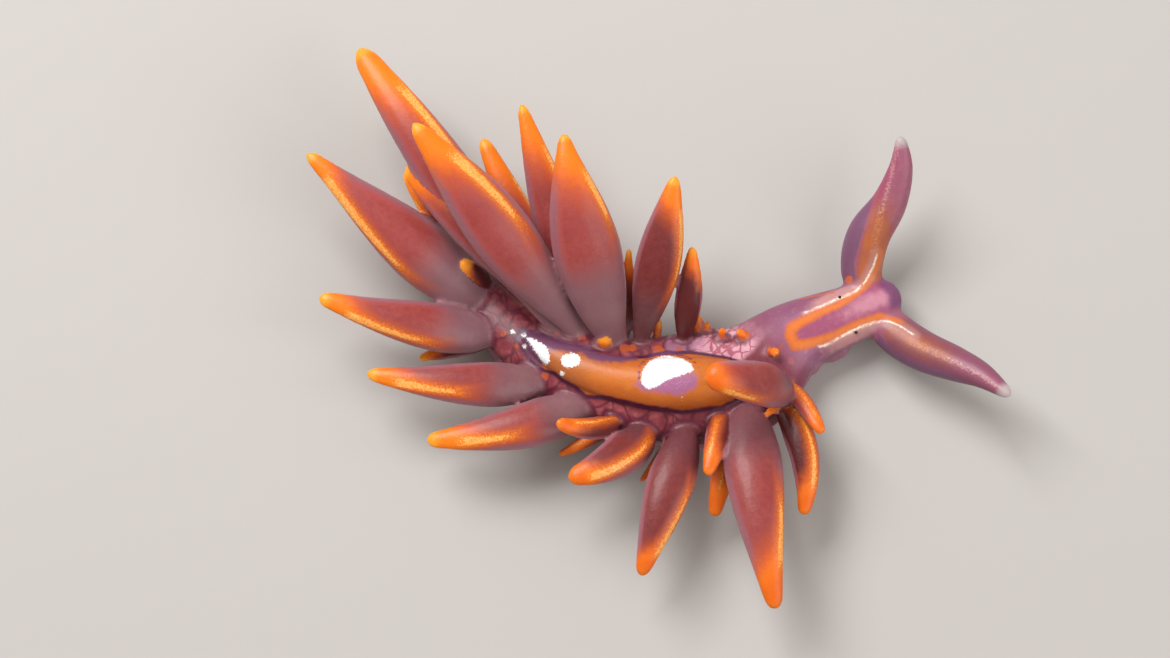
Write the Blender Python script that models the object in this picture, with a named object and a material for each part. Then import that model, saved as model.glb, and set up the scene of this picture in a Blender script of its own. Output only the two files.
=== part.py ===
"""A sacoglossan sea slug, Hermaea variopicta, crawling with its cerata spread.

Run with blender --background --python part.py, or from Blender's text editor.
All sizes below are real ones in millimetres; the meshes are made in metres.
+X points from tail to head, +Y to the animal's left, +Z up. The origin is on
the floor, under the middle of the foot.
"""

import math
from collections import namedtuple

import bmesh
import bpy
from mathutils import Vector

MM = 0.001
UP = Vector((0, 0, 1))
GAP = 0.3

# The creeping sole
FOOT_THICKNESS = 0.5
FOOT_MARGIN = 0.3
FOOT_REAR = 0.88
FOOT_FRONT = 8.2
FOOT_BODY_SHARE = 0.9
FOOT_ROUNDING = 0.35
FOOT_CLOSE = 0.02

# Half sections as shares of the half width, and heights in shares of the back
# for the tail and in millimetres for the sole
TAIL_SECTION = ((0.8, 0), (1.05, 0.15), (0.95, 0.5), (0.5, 0.9))
TAIL_POINT_SHARE = 0.35
TAIL_POINT_REACH = 0.5
FOOT_SECTION = ((0.92, 0), (1, 0.15), (0.9, 0.38), (0.6, FOOT_THICKNESS))

# Midline of the body from tail tip to snout. back and lift are heights above
# the floor of the top of the back and of the sole.
Station = namedtuple("Station", "x y half_width back lift")
STATIONS = (
    Station(-10.5, 7.7, 0.45, 0.75, 0.0),
    Station(-8.4, 5.0, 1.0, 1.6, 0.0),
    Station(-6.2, 2.4, 1.5, 2.3, 0.0),
    Station(-3.6, 0.65, 2.05, 2.9, 0.0),
    Station(-0.6, -0.35, 2.4, 3.2, 0.0),
    Station(2.4, -0.5, 2.85, 3.3, 0.0),
    Station(5.2, 0.0, 2.85, 3.15, 0.0),
    Station(7.7, 2.1, 1.85, 2.85, 0.0),
    Station(10.4, 3.2, 1.5, 2.75, 0.3),
    Station(13.15, 4.4, 1.2, 2.6, 0.5),
)

# Where the body is parted, as fractional stations
TAIL_END = 0.8
REAR_END = 1.9
MIDDLE_END = 4.6
FRONT_END = 6.8
NECK_END = 7.4
SNOUT_START = 8.5
SNOUT_END = 9.0

SECTION_POWER = 2.3
RINGS_PER_STATION = 5

# Raised heart and kidney ridge along the back: station, half width, height
HUMP = (
    (2.2, 0.3, 0.3),
    (2.5, 0.6, 0.4),
    (3.0, 0.95, 0.5),
    (4.0, 1.25, 0.7),
    (4.6, 1.4, 0.8),
    (5.3, 1.35, 0.85),
    (5.8, 1.05, 0.7),
    (6.0, 0.7, 0.5),
    (6.12, 0.3, 0.3),
)
HUMP_EDGE = 0.1
HUMP_STEPS = 22

# A ceras swells above its stalk, tapers evenly and ends in a rounded tip:
# share of the length, share of the full width.
CERAS_PROFILE = (
    (0.0, 0.32),
    (0.07, 0.65),
    (0.15, 0.87),
    (0.28, 1.0),
    (0.45, 0.94),
    (0.62, 0.78),
    (0.78, 0.59),
    (0.9, 0.43),
    (1.0, 0.26),
)
CERAS_WIDEST = 0.28
CERAS_RINGS = (0.0, 0.09, 0.18, 0.3, 0.45, 0.62, 0.8, 0.92, 0.98, 1.0)
CERAS_TIP = 0.08
CERAS_TIP_END = 0.14
CERAS_SIDES = 8
CERAS_FLATNESS = 0.6
ROOT_DEPTH = 0.55
ROOT_ACROSS = 0.95
CORE_SHARE = 0.4
GUIDE_REACH = 1.6

# root and tip are seen from above, tip_z is the tip's height. The ceras turns at
# the share bend of its length, where arch lifts it and sway carries it to its left.
# It is widest at the share swell. A slim one narrows early towards its tip, a full
# one (under 1) stays wide.
Ceras = namedtuple("Ceras", "root_x root_y tip_x tip_y tip_z width arch sway bend slim swell")

REAR_CERATA = (
    Ceras(-8.0, 3.7, -16.65, 10.85, 5.2, 3.25, 0.9, 0.1, 0.45, 1.5, 0.32),
    Ceras(-7.7, 1.95, -16.0, 3.7, 4.3, 2.5, 0.7, 0.35, 0.45, 1.1, 0.28),
    Ceras(-7.8, 4.6, -11.85, 10.25, 3.4, 1.2, 0.8, 0.1, 0.45, 0.8, 0.45),
    Ceras(-7.75, 1.85, -11.15, 1.05, 1.5, 1.2, 0.1, 0.0, 0.45, 1.0, 0.28),
    Ceras(-7.5, 4.75, -8.9, 5.65, 3.5, 1.2, 0.1, 0.0, 0.45, 0.8, 0.35),
)
MIDDLE_CERATA = (
    Ceras(-3.8, 2.5, -11.65, 10.3, 4.8, 2.0, 1.6, 0.0, 0.45, 0.6, 0.6),
    Ceras(-3.6, 2.3, -14.1, 16.2, 5.2, 2.8, 1.6, 0.35, 0.45, 0.9, 0.5),
    Ceras(-2.6, 2.3, -11.2, 11.6, 8.5, 3.15, 1.4, 0.2, 0.45, 1.35, 0.48),
    Ceras(-3.2, 2.6, -7.95, 12.0, 3.5, 2.0, 0.3, 0.1, 0.45, 1.0, 0.4),
    Ceras(-2.4, 2.3, -5.95, 13.3, 5.6, 2.2, 0.6, 0.1, 0.45, 1.3, 0.45),
    Ceras(-1.1, 1.85, -3.8, 11.2, 8.0, 3.4, 1.2, 0.4, 0.6, 1.65, 0.37),
    Ceras(0.0, 1.9, 1.7, 9.3, 7.0, 2.3, 0.8, -0.12, 0.45, 1.3, 0.47),
    Ceras(-0.6, 2.2, -0.55, 6.4, 3.4, 0.9, 0.3, 0.0, 0.45, 1.0, 0.4),
    Ceras(-4.8, -0.6, -13.65, 0.0, 3.4, 2.3, 0.6, 0.35, 0.45, 1.1, 0.3),
    Ceras(-2.6, -1.7, -10.65, -3.3, 3.0, 2.4, 0.6, 0.5, 0.45, 1.05, 0.3),
    Ceras(-3.6, -1.2, -6.3, -3.55, 1.3, 1.1, 0.1, 0.0, 0.45, 1.0, 0.28),
    Ceras(-1.0, -3.15, -4.2, -2.72, 5.2, 1.2, 0.4, 0.4, 0.45, 0.9, 0.35),
    Ceras(0.55, -2.95, -3.6, -5.4, 4.4, 2.15, 0.6, 0.5, 0.45, 1.25, 0.35),
    Ceras(-1.0, -2.7, -4.1, -3.9, 1.9, 0.9, 0.1, 0.0, 0.45, 0.8, 0.28),
    Ceras(0.8, 2.0, 0.95, 2.95, 2.7, 0.55, 0.0, 0.0, 0.45, 0.6, 0.5),
    Ceras(-1.75, 1.5, -1.75, 1.9, 3.3, 0.75, 0.0, 0.0, 0.45, 0.5, 0.5),
)
FRONT_CERATA = (
    Ceras(2.05, 1.95, 2.58, 6.15, 5.0, 1.4, 0.4, -0.15, 0.45, 1.1, 0.42),
    Ceras(2.6, -2.75, 0.0, -10.15, 3.4, 2.4, 0.8, -0.1, 0.45, 1.15, 0.38),
    Ceras(2.4, -2.8, -0.05, -5.25, 1.6, 0.9, 0.1, 0.0, 0.45, 1.0, 0.28),
    Ceras(7.8, -1.0, 3.0, -0.8, 8.0, 2.3, 2.2, 0.2, 0.45, 0.9, 0.28),
    Ceras(7.5, -0.3, 9.0, -3.2, 4.3, 1.0, 0.3, 0.0, 0.45, 0.8, 0.45),
    Ceras(6.8, -1.1, 8.05, -7.1, 3.0, 1.6, 0.4, 0.95, 0.45, 0.9, 0.4),
    Ceras(5.4, -1.7, 6.58, -11.9, 4.4, 2.95, 0.9, -0.2, 0.45, 1.15, 0.3),
    Ceras(4.2, -2.2, 3.25, -5.3, 4.4, 1.3, 0.4, 0.0, 0.45, 0.9, 0.3),
    Ceras(4.7, -2.2, 3.65, -7.1, 2.4, 1.5, 0.2, 0.0, 0.45, 0.8, 0.28),
    Ceras(7.3, -1.4, 6.25, -2.05, 3.4, 0.6, 0.1, 0.0, 0.45, 0.6, 0.4),
    Ceras(2.9, 2.2, 2.83, 3.2, 2.7, 0.65, 0.0, 0.0, 0.45, 0.5, 0.5),
    Ceras(3.4, 2.2, 3.4, 2.85, 2.5, 0.4, 0.0, 0.0, 0.45, 0.5, 0.5),
    Ceras(4.1, 1.9, 4.1, 2.4, 3.2, 0.5, 0.0, 0.0, 0.45, 0.5, 0.5),
    Ceras(5.7, 1.95, 4.75, 2.15, 3.1, 0.55, 0.0, 0.0, 0.45, 0.6, 0.6),
    Ceras(6.25, 1.4, 6.9, 0.9, 3.7, 0.6, 0.0, 0.0, 0.45, 0.6, 0.6),
)

# Rolled feelers: their middle line from inside the head to the tip
Feeler = namedtuple("Feeler", "x y z half_width")
FEELER_LEFT = (
    Feeler(11.6, 4.0, 1.7, 0.8),
    Feeler(11.2, 5.5, 1.95, 1.05),
    Feeler(11.5, 7.1, 2.75, 1.1),
    Feeler(12.5, 8.6, 3.6, 0.9),
    Feeler(13.02, 10.2, 4.6, 0.62),
    Feeler(12.97, 11.7, 5.4, 0.25),
)
FEELER_RIGHT = (
    Feeler(12.0, 3.6, 1.7, 0.8),
    Feeler(12.75, 2.4, 1.9, 1.05),
    Feeler(14.1, 1.35, 2.35, 1.05),
    Feeler(15.7, 0.55, 3.0, 0.9),
    Feeler(17.0, -0.2, 3.8, 0.65),
    Feeler(18.3, -1.35, 4.6, 0.27),
)
FEELER_WALL = 0.5
FEELER_ROLL = 128
FEELER_FLATNESS = 0.8
FEELER_CUT = 1.0
FEELER_STEPS = 10
FEELER_ARC_STEPS = 8

# The mouth is an upright slit between two lips, low on the snout
MOUTH_STATION = 9.0
MOUTH_HEIGHT = 1.6
MOUTH_SIZE = (0.5, 0.1, 0.5)
LIP_STATION = 8.76
LIP_ACROSS = 0.36
LIP_HEIGHT = 1.75
LIP_SIZE = (0.62, 0.5, 0.52)

# Station and distance to the left of the midline of each eye
EYE_LEFT = (7.99, 0.88)
EYE_RIGHT = (8.01, -1.07)
EYE_RADIUS = 0.1
EYE_PIT_RADIUS = 0.21
EYE_SINK = 0.4

COLOURS = {
    "flesh": (0.55, 0.22, 0.38, 0.35),
    "ceras": (0.55, 0.12, 0.09, 0.4),
    "orange": (0.8, 0.22, 0.03, 0.35),
    "foot": (0.62, 0.4, 0.5, 0.45),
    "eye": (0.01, 0.01, 0.012, 0.2),
}


def between(rows, at):
    """Smooth value of a table of rows at a fractional row, by a Catmull-Rom curve."""
    at = min(max(at, 0.0), len(rows) - 1.0)
    i = min(int(at), len(rows) - 2)
    t = at - i
    p1, p2 = rows[i], rows[i + 1]
    p0 = rows[i - 1] if i else [2 * a - b for a, b in zip(p1, p2)]
    p3 = rows[i + 2] if i + 2 < len(rows) else [2 * b - a for a, b in zip(p1, p2)]
    return [
        0.5 * (2 * b + (c - a) * t + (2 * a - 5 * b + 4 * c - d) * t**2 + (3 * b - a - 3 * c + d) * t**3)
        for a, b, c, d in zip(p0, p1, p2, p3)
    ]


def ramp(table, at):
    """Straight-line value of the columns after the first, which holds the places."""
    for low, high in zip(table, table[1:]):
        if at <= high[0]:
            break
    share = min(max((at - low[0]) / (high[0] - low[0]), 0.0), 1.0)
    return [a + (b - a) * share for a, b in zip(low[1:], high[1:])]


def station(s):
    here = Station(*between(STATIONS, s))
    return here._replace(lift=max(here.lift, 0.0))


def left_at(s):
    """Unit vector to the animal's left at a station."""
    step = 0.05
    a, b = station(s - step), station(s + step)
    ahead = Vector((b.x - a.x, b.y - a.y, 0)).normalized()
    return UP.cross(ahead)


def place(s, across, height):
    here = station(s)
    return Vector((here.x, here.y, 0)) + left_at(s) * across + UP * height


def rounding(s):
    """The snout closes as an ellipse over its last part."""
    if s <= SNOUT_START:
        return 1.0
    share = (s - SNOUT_START) / (SNOUT_END - SNOUT_START)
    return math.sqrt(max(1 - share**2, 0.0))


def span(s):
    """Half width, lowest and highest point of the body above the foot."""
    here = station(s)
    low = here.lift + FOOT_THICKNESS + GAP
    middle = (low + here.back) / 2
    half = (here.back - low) / 2 * rounding(s)
    return here.half_width * rounding(s), middle - half, middle + half


def signed_power(value, power):
    return math.copysign(abs(value) ** power, value)


def body_ring(s, sides=16):
    width, low, high = span(s)
    middle, half = (low + high) / 2, (high - low) / 2
    ring = []
    for k in range(sides):
        angle = 2 * math.pi * (k + 0.5) / sides
        across = width * signed_power(math.cos(angle), 2 / SECTION_POWER)
        height = middle + half * signed_power(math.sin(angle), 2 / SECTION_POWER)
        ring.append(place(s, across, height))
    return ring


def back_height(s, across):
    """Height of the back's surface at a distance from the midline."""
    width, low, high = span(s)
    share = min(abs(across) / width, 0.97)
    return (low + high) / 2 + (high - low) / 2 * (1 - share**SECTION_POWER) ** (1 / SECTION_POWER)


def steps(first, last, count):
    return [first + (last - first) * k / count for k in range(count + 1)]


def material(name, colour):
    made = bpy.data.materials.new(name)
    made.use_nodes = True
    shader = made.node_tree.nodes["Principled BSDF"]
    shader.inputs["Base Color"].default_value = (*colour[:3], 1)
    shader.inputs["Roughness"].default_value = colour[3]
    shader.inputs["Metallic"].default_value = 0
    made.diffuse_color = (*colour[:3], 1)
    return made


def add_object(name, bm, colour, collection=None):
    bmesh.ops.recalc_face_normals(bm, faces=bm.faces)
    mesh = bpy.data.meshes.new(name)
    bm.to_mesh(mesh)
    bm.free()
    mesh.materials.append(material(name, COLOURS[colour]))
    mesh.shade_smooth()
    obj = bpy.data.objects.new(name, mesh)
    (collection or bpy.context.scene.collection).objects.link(obj)
    return obj


def loft(name, rings, colour, collection=None, flipped=()):
    """A closed body through rings of equal count. flipped lists the strips whose diagonals turn."""
    bm = bmesh.new()
    loops = [[bm.verts.new(p * MM) for p in ring] for ring in rings]
    count = len(rings[0])
    for lower, upper in zip(loops, loops[1:]):
        for k in range(count):
            a, b = lower[k], lower[(k + 1) % count]
            c, d = upper[(k + 1) % count], upper[k]
            if k in flipped:
                bm.faces.new((a, b, d))
                bm.faces.new((b, c, d))
            else:
                bm.faces.new((a, b, c))
                bm.faces.new((a, c, d))
    bm.faces.new(loops[0][::-1])
    bm.faces.new(loops[-1])
    return add_object(name, bm, colour, collection)


def join(base, pieces):
    """Unites a collection of closed pieces with the base and removes them."""
    modifier = base.modifiers.new("union", "BOOLEAN")
    modifier.operation = "UNION"
    modifier.operand_type = "COLLECTION"
    modifier.collection = pieces
    modifier.solver = "MANIFOLD"
    apply_modifiers(base)
    for piece in list(pieces.objects):
        bpy.data.objects.remove(piece)
    bpy.data.collections.remove(pieces)
    keep_largest(base)


def cut(base, cutter):
    """Takes a closed cutter out of the base and removes it."""
    modifier = base.modifiers.new("cut", "BOOLEAN")
    modifier.operation = "DIFFERENCE"
    modifier.object = cutter
    modifier.solver = "EXACT"
    apply_modifiers(base)
    bpy.data.objects.remove(cutter)


def apply_modifiers(obj):
    graph = bpy.context.evaluated_depsgraph_get()
    mesh = bpy.data.meshes.new_from_object(obj.evaluated_get(graph))
    obj.modifiers.clear()
    obj.data = mesh


def keep_largest(obj):
    """Keeps the largest closed surface, which drops loose scraps and sealed hollows."""
    bm = bmesh.new()
    bm.from_mesh(obj.data)
    left = set(bm.verts)
    groups = []
    while left:
        group, edge_of_group = set(), [left.pop()]
        while edge_of_group:
            vert = edge_of_group.pop()
            group.add(vert)
            for edge in vert.link_edges:
                other = edge.other_vert(vert)
                if other in left:
                    left.remove(other)
                    edge_of_group.append(other)
        groups.append(group)
    groups.sort(key=len)
    for group in groups[:-1]:
        bmesh.ops.delete(bm, geom=list(group), context="VERTS")
    bm.to_mesh(obj.data)
    bm.free()


def new_collection(name):
    made = bpy.data.collections.new(name)
    bpy.context.scene.collection.children.link(made)
    return made


def nearest_station(x, y):
    """Station and distance to the left of the midline of a point seen from above."""
    def off(s):
        here = station(s)
        return (here.x - x) ** 2 + (here.y - y) ** 2

    best = min(steps(0, len(STATIONS) - 1, 900), key=off)
    here = station(best)
    return best, left_at(best).dot(Vector((x - here.x, y - here.y, 0)))


def ceras_half_width(ceras, t):
    """Half the width of a ceras at a share of its length, rounded off at the tip."""
    places = [row[0] for row in CERAS_PROFILE]
    at = t ** (math.log(CERAS_WIDEST) / math.log(ceras.swell))
    i = sum(p <= at for p in places[1:-1])
    share = (at - places[i]) / (places[i + 1] - places[i])
    width = between([row[1:] for row in CERAS_PROFILE], i + share)[0]
    if at > CERAS_WIDEST:
        width **= ceras.slim
    past = max(t - (1 - CERAS_TIP), 0) / CERAS_TIP
    return ceras.width / 2 * width * max(math.sqrt(max(1 - past**2, 0)), CERAS_TIP_END)


def curve_point(points, t):
    """Point of the quadratic curve through root, middle guide and tip."""
    a, b, c = points
    return a * (1 - t) ** 2 + b * 2 * t * (1 - t) + c * t**2


def ceras_path(ceras):
    s, across = nearest_station(ceras.root_x, ceras.root_y)
    width, low, high = span(s)
    across = min(max(across, -ROOT_ACROSS * width), ROOT_ACROSS * width)
    root = place(s, across, back_height(s, across))
    core = place(s, across * CORE_SHARE, (low + high) / 2)
    start = root + (core - root).normalized() * ROOT_DEPTH
    tip = Vector((ceras.tip_x, ceras.tip_y, ceras.tip_z))
    side = (tip - root).cross(UP).normalized()
    guide = root.lerp(tip, ceras.bend) + (UP * ceras.arch - side * ceras.sway) * GUIDE_REACH
    return start, guide, tip


def add_ceras(name, ceras, collection):
    path = ceras_path(ceras)
    rings = []
    for t in CERAS_RINGS:
        centre = curve_point(path, t)
        ahead = (curve_point(path, min(t + 0.01, 1)) - curve_point(path, max(t - 0.01, 0))).normalized()
        side = ahead.cross(UP).normalized()
        top = side.cross(ahead)
        half = ceras_half_width(ceras, t)
        rings.append([
            centre
            + side * half * math.cos(2 * math.pi * k / CERAS_SIDES)
            + top * half * CERAS_FLATNESS * math.sin(2 * math.pi * k / CERAS_SIDES)
            for k in range(CERAS_SIDES)
        ])
    return loft(name, rings, "ceras", collection)


def add_length(name, first, last, cerata=()):
    """One length of the trunk, with the cerata that grow from it."""
    count = max(round((last - first) * RINGS_PER_STATION), 2)
    trunk = loft(name, [body_ring(s) for s in steps(first, last, count)], "ceras" if cerata else "flesh")
    if cerata:
        pieces = new_collection(name + "_cerata")
        for k, ceras in enumerate(cerata):
            add_ceras(f"{name}_ceras_{k}", ceras, pieces)
        join(trunk, pieces)
    return trunk


def add_tail():
    """The tail drags its own sole, so its section reaches the floor."""
    left_half = list(TAIL_SECTION) + [(0, 1)]
    section = left_half + [(-x, z) for x, z in TAIL_SECTION[::-1]]
    rings = []
    for s in steps(0.0, TAIL_END, 6):
        here = station(s)
        rings.append([place(s, here.half_width * x, here.back * z) for x, z in section])
    end = place(0.0, 0, 0)
    beyond = end + (end - place(0.2, 0, 0)).normalized() * TAIL_POINT_REACH
    rings.insert(0, [beyond + (p - end) * TAIL_POINT_SHARE for p in rings[0]])
    return loft("tail", rings, "flesh")


def add_foot():
    """The sole, flat on the floor, with a thin margin wider than the body and a lifted front."""
    left_half = list(FOOT_SECTION) + [(0, FOOT_THICKNESS)]
    section = left_half + [(-x, z) for x, z in FOOT_SECTION[::-1]] + [(0, 0)]
    rings = []
    count = round((FOOT_FRONT - FOOT_REAR) * RINGS_PER_STATION)
    for s in steps(FOOT_REAR, FOOT_FRONT, count):
        here = station(s)
        close = math.sqrt(min((FOOT_FRONT - s + FOOT_CLOSE) / FOOT_ROUNDING, 1.0))
        width = (here.half_width * FOOT_BODY_SHARE + FOOT_MARGIN) * close
        rings.append([place(s, width * x, here.lift + z) for x, z in section])
    return loft("foot", rings, "foot")


def add_hump():
    """The raised heart and kidney ridge lies along the back."""
    rings = []
    for s in steps(HUMP[0][0], HUMP[-1][0], HUMP_STEPS):
        width, height = ramp(HUMP, s)
        top, under = [], []
        for x in steps(-1, 1, 6):
            floor = back_height(s, width * x) + GAP
            top.append(place(s, width * x, floor + HUMP_EDGE + height * math.sqrt(max(1 - x * x, 0))))
            under.append(place(s, width * x, floor))
        rings.append(top + under[::-1])
    return loft("heart_ridge", rings, "orange")


def feeler_rings(feeler, first, last, count):
    """Rings of the rolled sheet: an arc over the top, its wall and the arc back inside."""
    rings = []
    for at in steps(first, last, count):
        x, y, z, outer = between(feeler, at)
        ahead = Vector(between(feeler, at + 0.05)[:3]) - Vector(between(feeler, at - 0.05)[:3])
        side = ahead.cross(UP).normalized()
        top = side.cross(ahead.normalized())
        inner = max(outer - FEELER_WALL, outer * 0.12)
        arc = [math.radians(a) for a in steps(-FEELER_ROLL, FEELER_ROLL, FEELER_ARC_STEPS)]
        rounds = [(a, outer) for a in arc] + [(a, inner) for a in arc[::-1]]
        rings.append([
            Vector((x, y, z)) + (side * math.sin(a) + top * math.cos(a) * FEELER_FLATNESS) * half
            for a, half in rounds
        ])
    return rings


def add_feeler(name, feeler):
    inside = range(FEELER_ARC_STEPS + 1, 2 * FEELER_ARC_STEPS + 1)
    first = FEELER_CUT + GAP / (Vector(feeler[2][:3]) - Vector(feeler[1][:3])).length
    return loft(name, feeler_rings(feeler, first, len(feeler) - 1, FEELER_STEPS), "flesh", None, inside)


def add_head():
    """Head with the roots of both feelers, a pit for each eye and the slit of the mouth."""
    places = steps(NECK_END + GAP / 3, SNOUT_START, 5)
    places += [SNOUT_START + (SNOUT_END - SNOUT_START) * x for x in (0.35, 0.6, 0.8, 0.92, 0.98)]
    head = loft("head", [body_ring(s) for s in places], "flesh")
    roots = new_collection("feeler_roots")
    inside = range(FEELER_ARC_STEPS + 1, 2 * FEELER_ARC_STEPS + 1)
    for name, feeler in (("root_left", FEELER_LEFT), ("root_right", FEELER_RIGHT)):
        loft(name, feeler_rings(feeler, 0.0, FEELER_CUT, 2), "flesh", roots, inside)
    for side in (1, -1):
        add_ball("lip", place(LIP_STATION, side * LIP_ACROSS, LIP_HEIGHT), LIP_SIZE, "flesh", roots)
    join(head, roots)
    cut(head, add_ball("mouth", place(MOUTH_STATION, 0, MOUTH_HEIGHT), MOUTH_SIZE, "flesh"))
    for eye in (EYE_LEFT, EYE_RIGHT):
        cut(head, add_ball("pit", eye_centre(*eye), (EYE_PIT_RADIUS,) * 3, "eye"))
    return head


def eye_centre(s, across):
    return place(s, across, back_height(s, across) - EYE_RADIUS * EYE_SINK)


def add_ball(name, centre, radii, colour, collection=None):
    """A ball stretched along the head's length, breadth and height."""
    left = left_at(SNOUT_START)
    bm = bmesh.new()
    bmesh.ops.create_icosphere(bm, subdivisions=2, radius=1)
    for vert in bm.verts:
        ahead, across, up = (a * b for a, b in zip(vert.co, radii))
        vert.co = (centre + left.cross(UP) * ahead + left * across + UP * up) * MM
    return add_object(name, bm, colour, collection)


def main():
    for obj in list(bpy.data.objects):
        bpy.data.objects.remove(obj)
    half_cut = GAP / 6
    add_tail()
    add_length("trunk_rear", TAIL_END + 2 * half_cut, REAR_END - half_cut, REAR_CERATA)
    add_length("trunk_middle", REAR_END + half_cut, MIDDLE_END - half_cut, MIDDLE_CERATA)
    add_length("trunk_front", MIDDLE_END + half_cut, FRONT_END - half_cut, FRONT_CERATA)
    add_length("neck", FRONT_END + half_cut, NECK_END)
    add_head()
    add_foot()
    add_hump()
    add_feeler("rhinophore_left", FEELER_LEFT)
    add_feeler("rhinophore_right", FEELER_RIGHT)
    add_ball("eye_left", eye_centre(*EYE_LEFT), (EYE_RADIUS,) * 3, "eye")
    add_ball("eye_right", eye_centre(*EYE_RIGHT), (EYE_RADIUS,) * 3, "eye")


main()
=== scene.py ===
# %% [markdown]
# # A crawling sea slug, Hermaea variopicta, life size
#
# The slug is about 27 mm long. Its CAD solids, cut apart by thin gaps, are loaded as a frame, and this
# script dresses them in one continuous wet skin with the colours of the living animal.
# All sizes are real ones in millimetres, turned to metres where a mesh is made.
# +X points to the head, +Y to the animal's left, +Z up. The sole is on the floor at z = 0.

# %% The frame
import math
from collections import namedtuple

import bmesh
import bpy
import numpy as np
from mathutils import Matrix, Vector
from mathutils.kdtree import KDTree


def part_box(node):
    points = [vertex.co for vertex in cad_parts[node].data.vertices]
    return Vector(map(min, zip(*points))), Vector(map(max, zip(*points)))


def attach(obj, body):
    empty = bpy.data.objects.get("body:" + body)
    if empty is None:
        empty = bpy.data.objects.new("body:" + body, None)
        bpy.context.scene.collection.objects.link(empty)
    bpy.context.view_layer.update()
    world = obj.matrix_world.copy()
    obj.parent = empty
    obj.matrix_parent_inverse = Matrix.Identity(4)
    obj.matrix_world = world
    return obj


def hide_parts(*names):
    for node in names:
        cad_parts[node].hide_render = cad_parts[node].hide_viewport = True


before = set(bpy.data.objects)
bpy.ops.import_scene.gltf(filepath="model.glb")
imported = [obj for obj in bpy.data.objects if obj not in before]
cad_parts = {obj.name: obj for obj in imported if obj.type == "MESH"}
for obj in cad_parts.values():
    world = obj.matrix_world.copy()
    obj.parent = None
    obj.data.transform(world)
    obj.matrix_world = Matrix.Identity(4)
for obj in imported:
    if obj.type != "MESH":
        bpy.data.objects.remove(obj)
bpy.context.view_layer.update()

MM = 0.001
UP = np.array((0.0, 0.0, 1.0))
print("nodes:", ", ".join(sorted(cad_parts)))

# %% [markdown]
# ## Curves through a few rows
#
# Every form here follows a short table of rows, such as the width of the body at ten places. A Bezier
# curve would need handles as well as rows. A Catmull-Rom curve passes through each row and is smooth
# between them, so a few rows are enough and each can be read off the animal.

# %% Smooth and straight curves through rows


def between(rows, at):
    """Smooth value of a table of rows at fractional rows (an array), by a Catmull-Rom curve."""
    rows = np.asarray(rows, float)
    if rows.ndim == 1:
        rows = rows[:, None]
    at = np.clip(np.atleast_1d(at), 0, len(rows) - 1)
    ends = np.vstack((2 * rows[0] - rows[1], rows, 2 * rows[-1] - rows[-2]))
    i = np.minimum(at.astype(int), len(rows) - 2)
    t = (at - i)[:, None]
    a, b, c, d = (ends[i + k] for k in range(4))
    return 0.5 * (2 * b + (c - a) * t + (2 * a - 5 * b + 4 * c - d) * t**2 + (3 * b - a - 3 * c + d) * t**3)


def unit(vectors):
    """The same directions, each of length 1."""
    return vectors / np.linalg.norm(vectors, axis=-1, keepdims=True)


def column(table, at, k=1):
    """Straight-line value of column k of a table whose first column holds the places."""
    table = np.asarray(table, float)
    return np.interp(at, table[:, 0], table[:, k])


print("halfway from 0 to 1, in a curve that goes on to 0:", between((0, 1, 0), 0.5)[0, 0])


# %% [markdown]
# ## The body's middle line
#
# A slug has no bones: its shape is a soft tube around a bent line. It could be sculpted by hand, but
# then nothing could be placed on it by number. Here each station says where the line passes, seen
# from above, how wide the body is there, and how high its back and its sole lie.

# %% Stations from tail tip to snout
# x, y, half width, height of the back, lift of the sole
STATIONS = (
    (-10.5, 7.7, 0.45, 0.75, 0.0),
    (-8.4, 5.0, 1.0, 1.6, 0.0),
    (-6.2, 2.4, 1.5, 2.3, 0.0),
    (-3.6, 0.65, 2.05, 2.9, 0.0),
    (-0.6, -0.35, 2.4, 3.2, 0.0),
    (2.4, -0.5, 2.85, 3.3, 0.0),
    (5.2, 0.0, 2.85, 3.15, 0.0),
    (7.7, 2.1, 1.85, 2.85, 0.0),
    (10.4, 3.2, 1.5, 2.75, 0.3),
    (13.15, 4.4, 1.2, 2.6, 0.5),
)
# the snout closes between these two places, counted in stations
SNOUT_START = 8.5
SNOUT_END = 9.0
SOLE_THICKNESS = 0.5
FLANK_FOOT = 0.3
SECTION_POWER = 2.3
LOOK_AHEAD = 0.05
RIM_SHARE = 0.97


def left_at(s):
    """Directions to the animal's left at stations, level with the floor."""
    ahead = unit(between(STATIONS, s + LOOK_AHEAD)[:, :2] - between(STATIONS, s - LOOK_AHEAD)[:, :2])
    return np.column_stack((-ahead[:, 1], ahead[:, 0], np.zeros(len(ahead))))


def place(s, across, height):
    """Points at stations, so far to the left of the middle line and so high."""
    here = between(STATIONS, s)
    spot = left_at(s) * np.reshape(across, (-1, 1))
    spot[:, :2] += here[:, :2]
    spot[:, 2] += height
    return spot


def place_one(station, across=0.0, height=0.0):
    """One such point."""
    return place(np.full(1, station), across, height)[0]


def span(s):
    """Half width, lowest and highest point of the trunk, which closes at the snout."""
    here = between(STATIONS, s)
    low = np.maximum(here[:, 4], 0) + FLANK_FOOT
    share = np.clip((np.atleast_1d(s) - SNOUT_START) / (SNOUT_END - SNOUT_START), 0, 1)
    shut = np.sqrt(1 - share**2)
    middle, half = (low + here[:, 3]) / 2, (here[:, 3] - low) / 2 * shut
    return here[:, 2] * shut, middle - half, middle + half


def back_height(s, across):
    """Height of the back above a spot, read no nearer to the rim than RIM_SHARE."""
    width, low, high = span(s)
    share = np.minimum(np.abs(across) / width, RIM_SHARE)
    return (low + high) / 2 + (high - low) / 2 * (1 - share**SECTION_POWER) ** (1 / SECTION_POWER)


print("back at station 5:", round(float(back_height(np.full(1, 5.0), 0)[0]), 2), "mm")

# %% [markdown]
# ## Closed sweeps
#
# Tubes with a changing section are the raw material of the whole animal. A curve with a bevel makes
# a tube too, but only a round one. Here each tube is a stack of rings, closed at both ends. Cerata
# and feelers also carry numbers for each point, such as how far along a ceras it lies: later they
# steer the colours.

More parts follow.
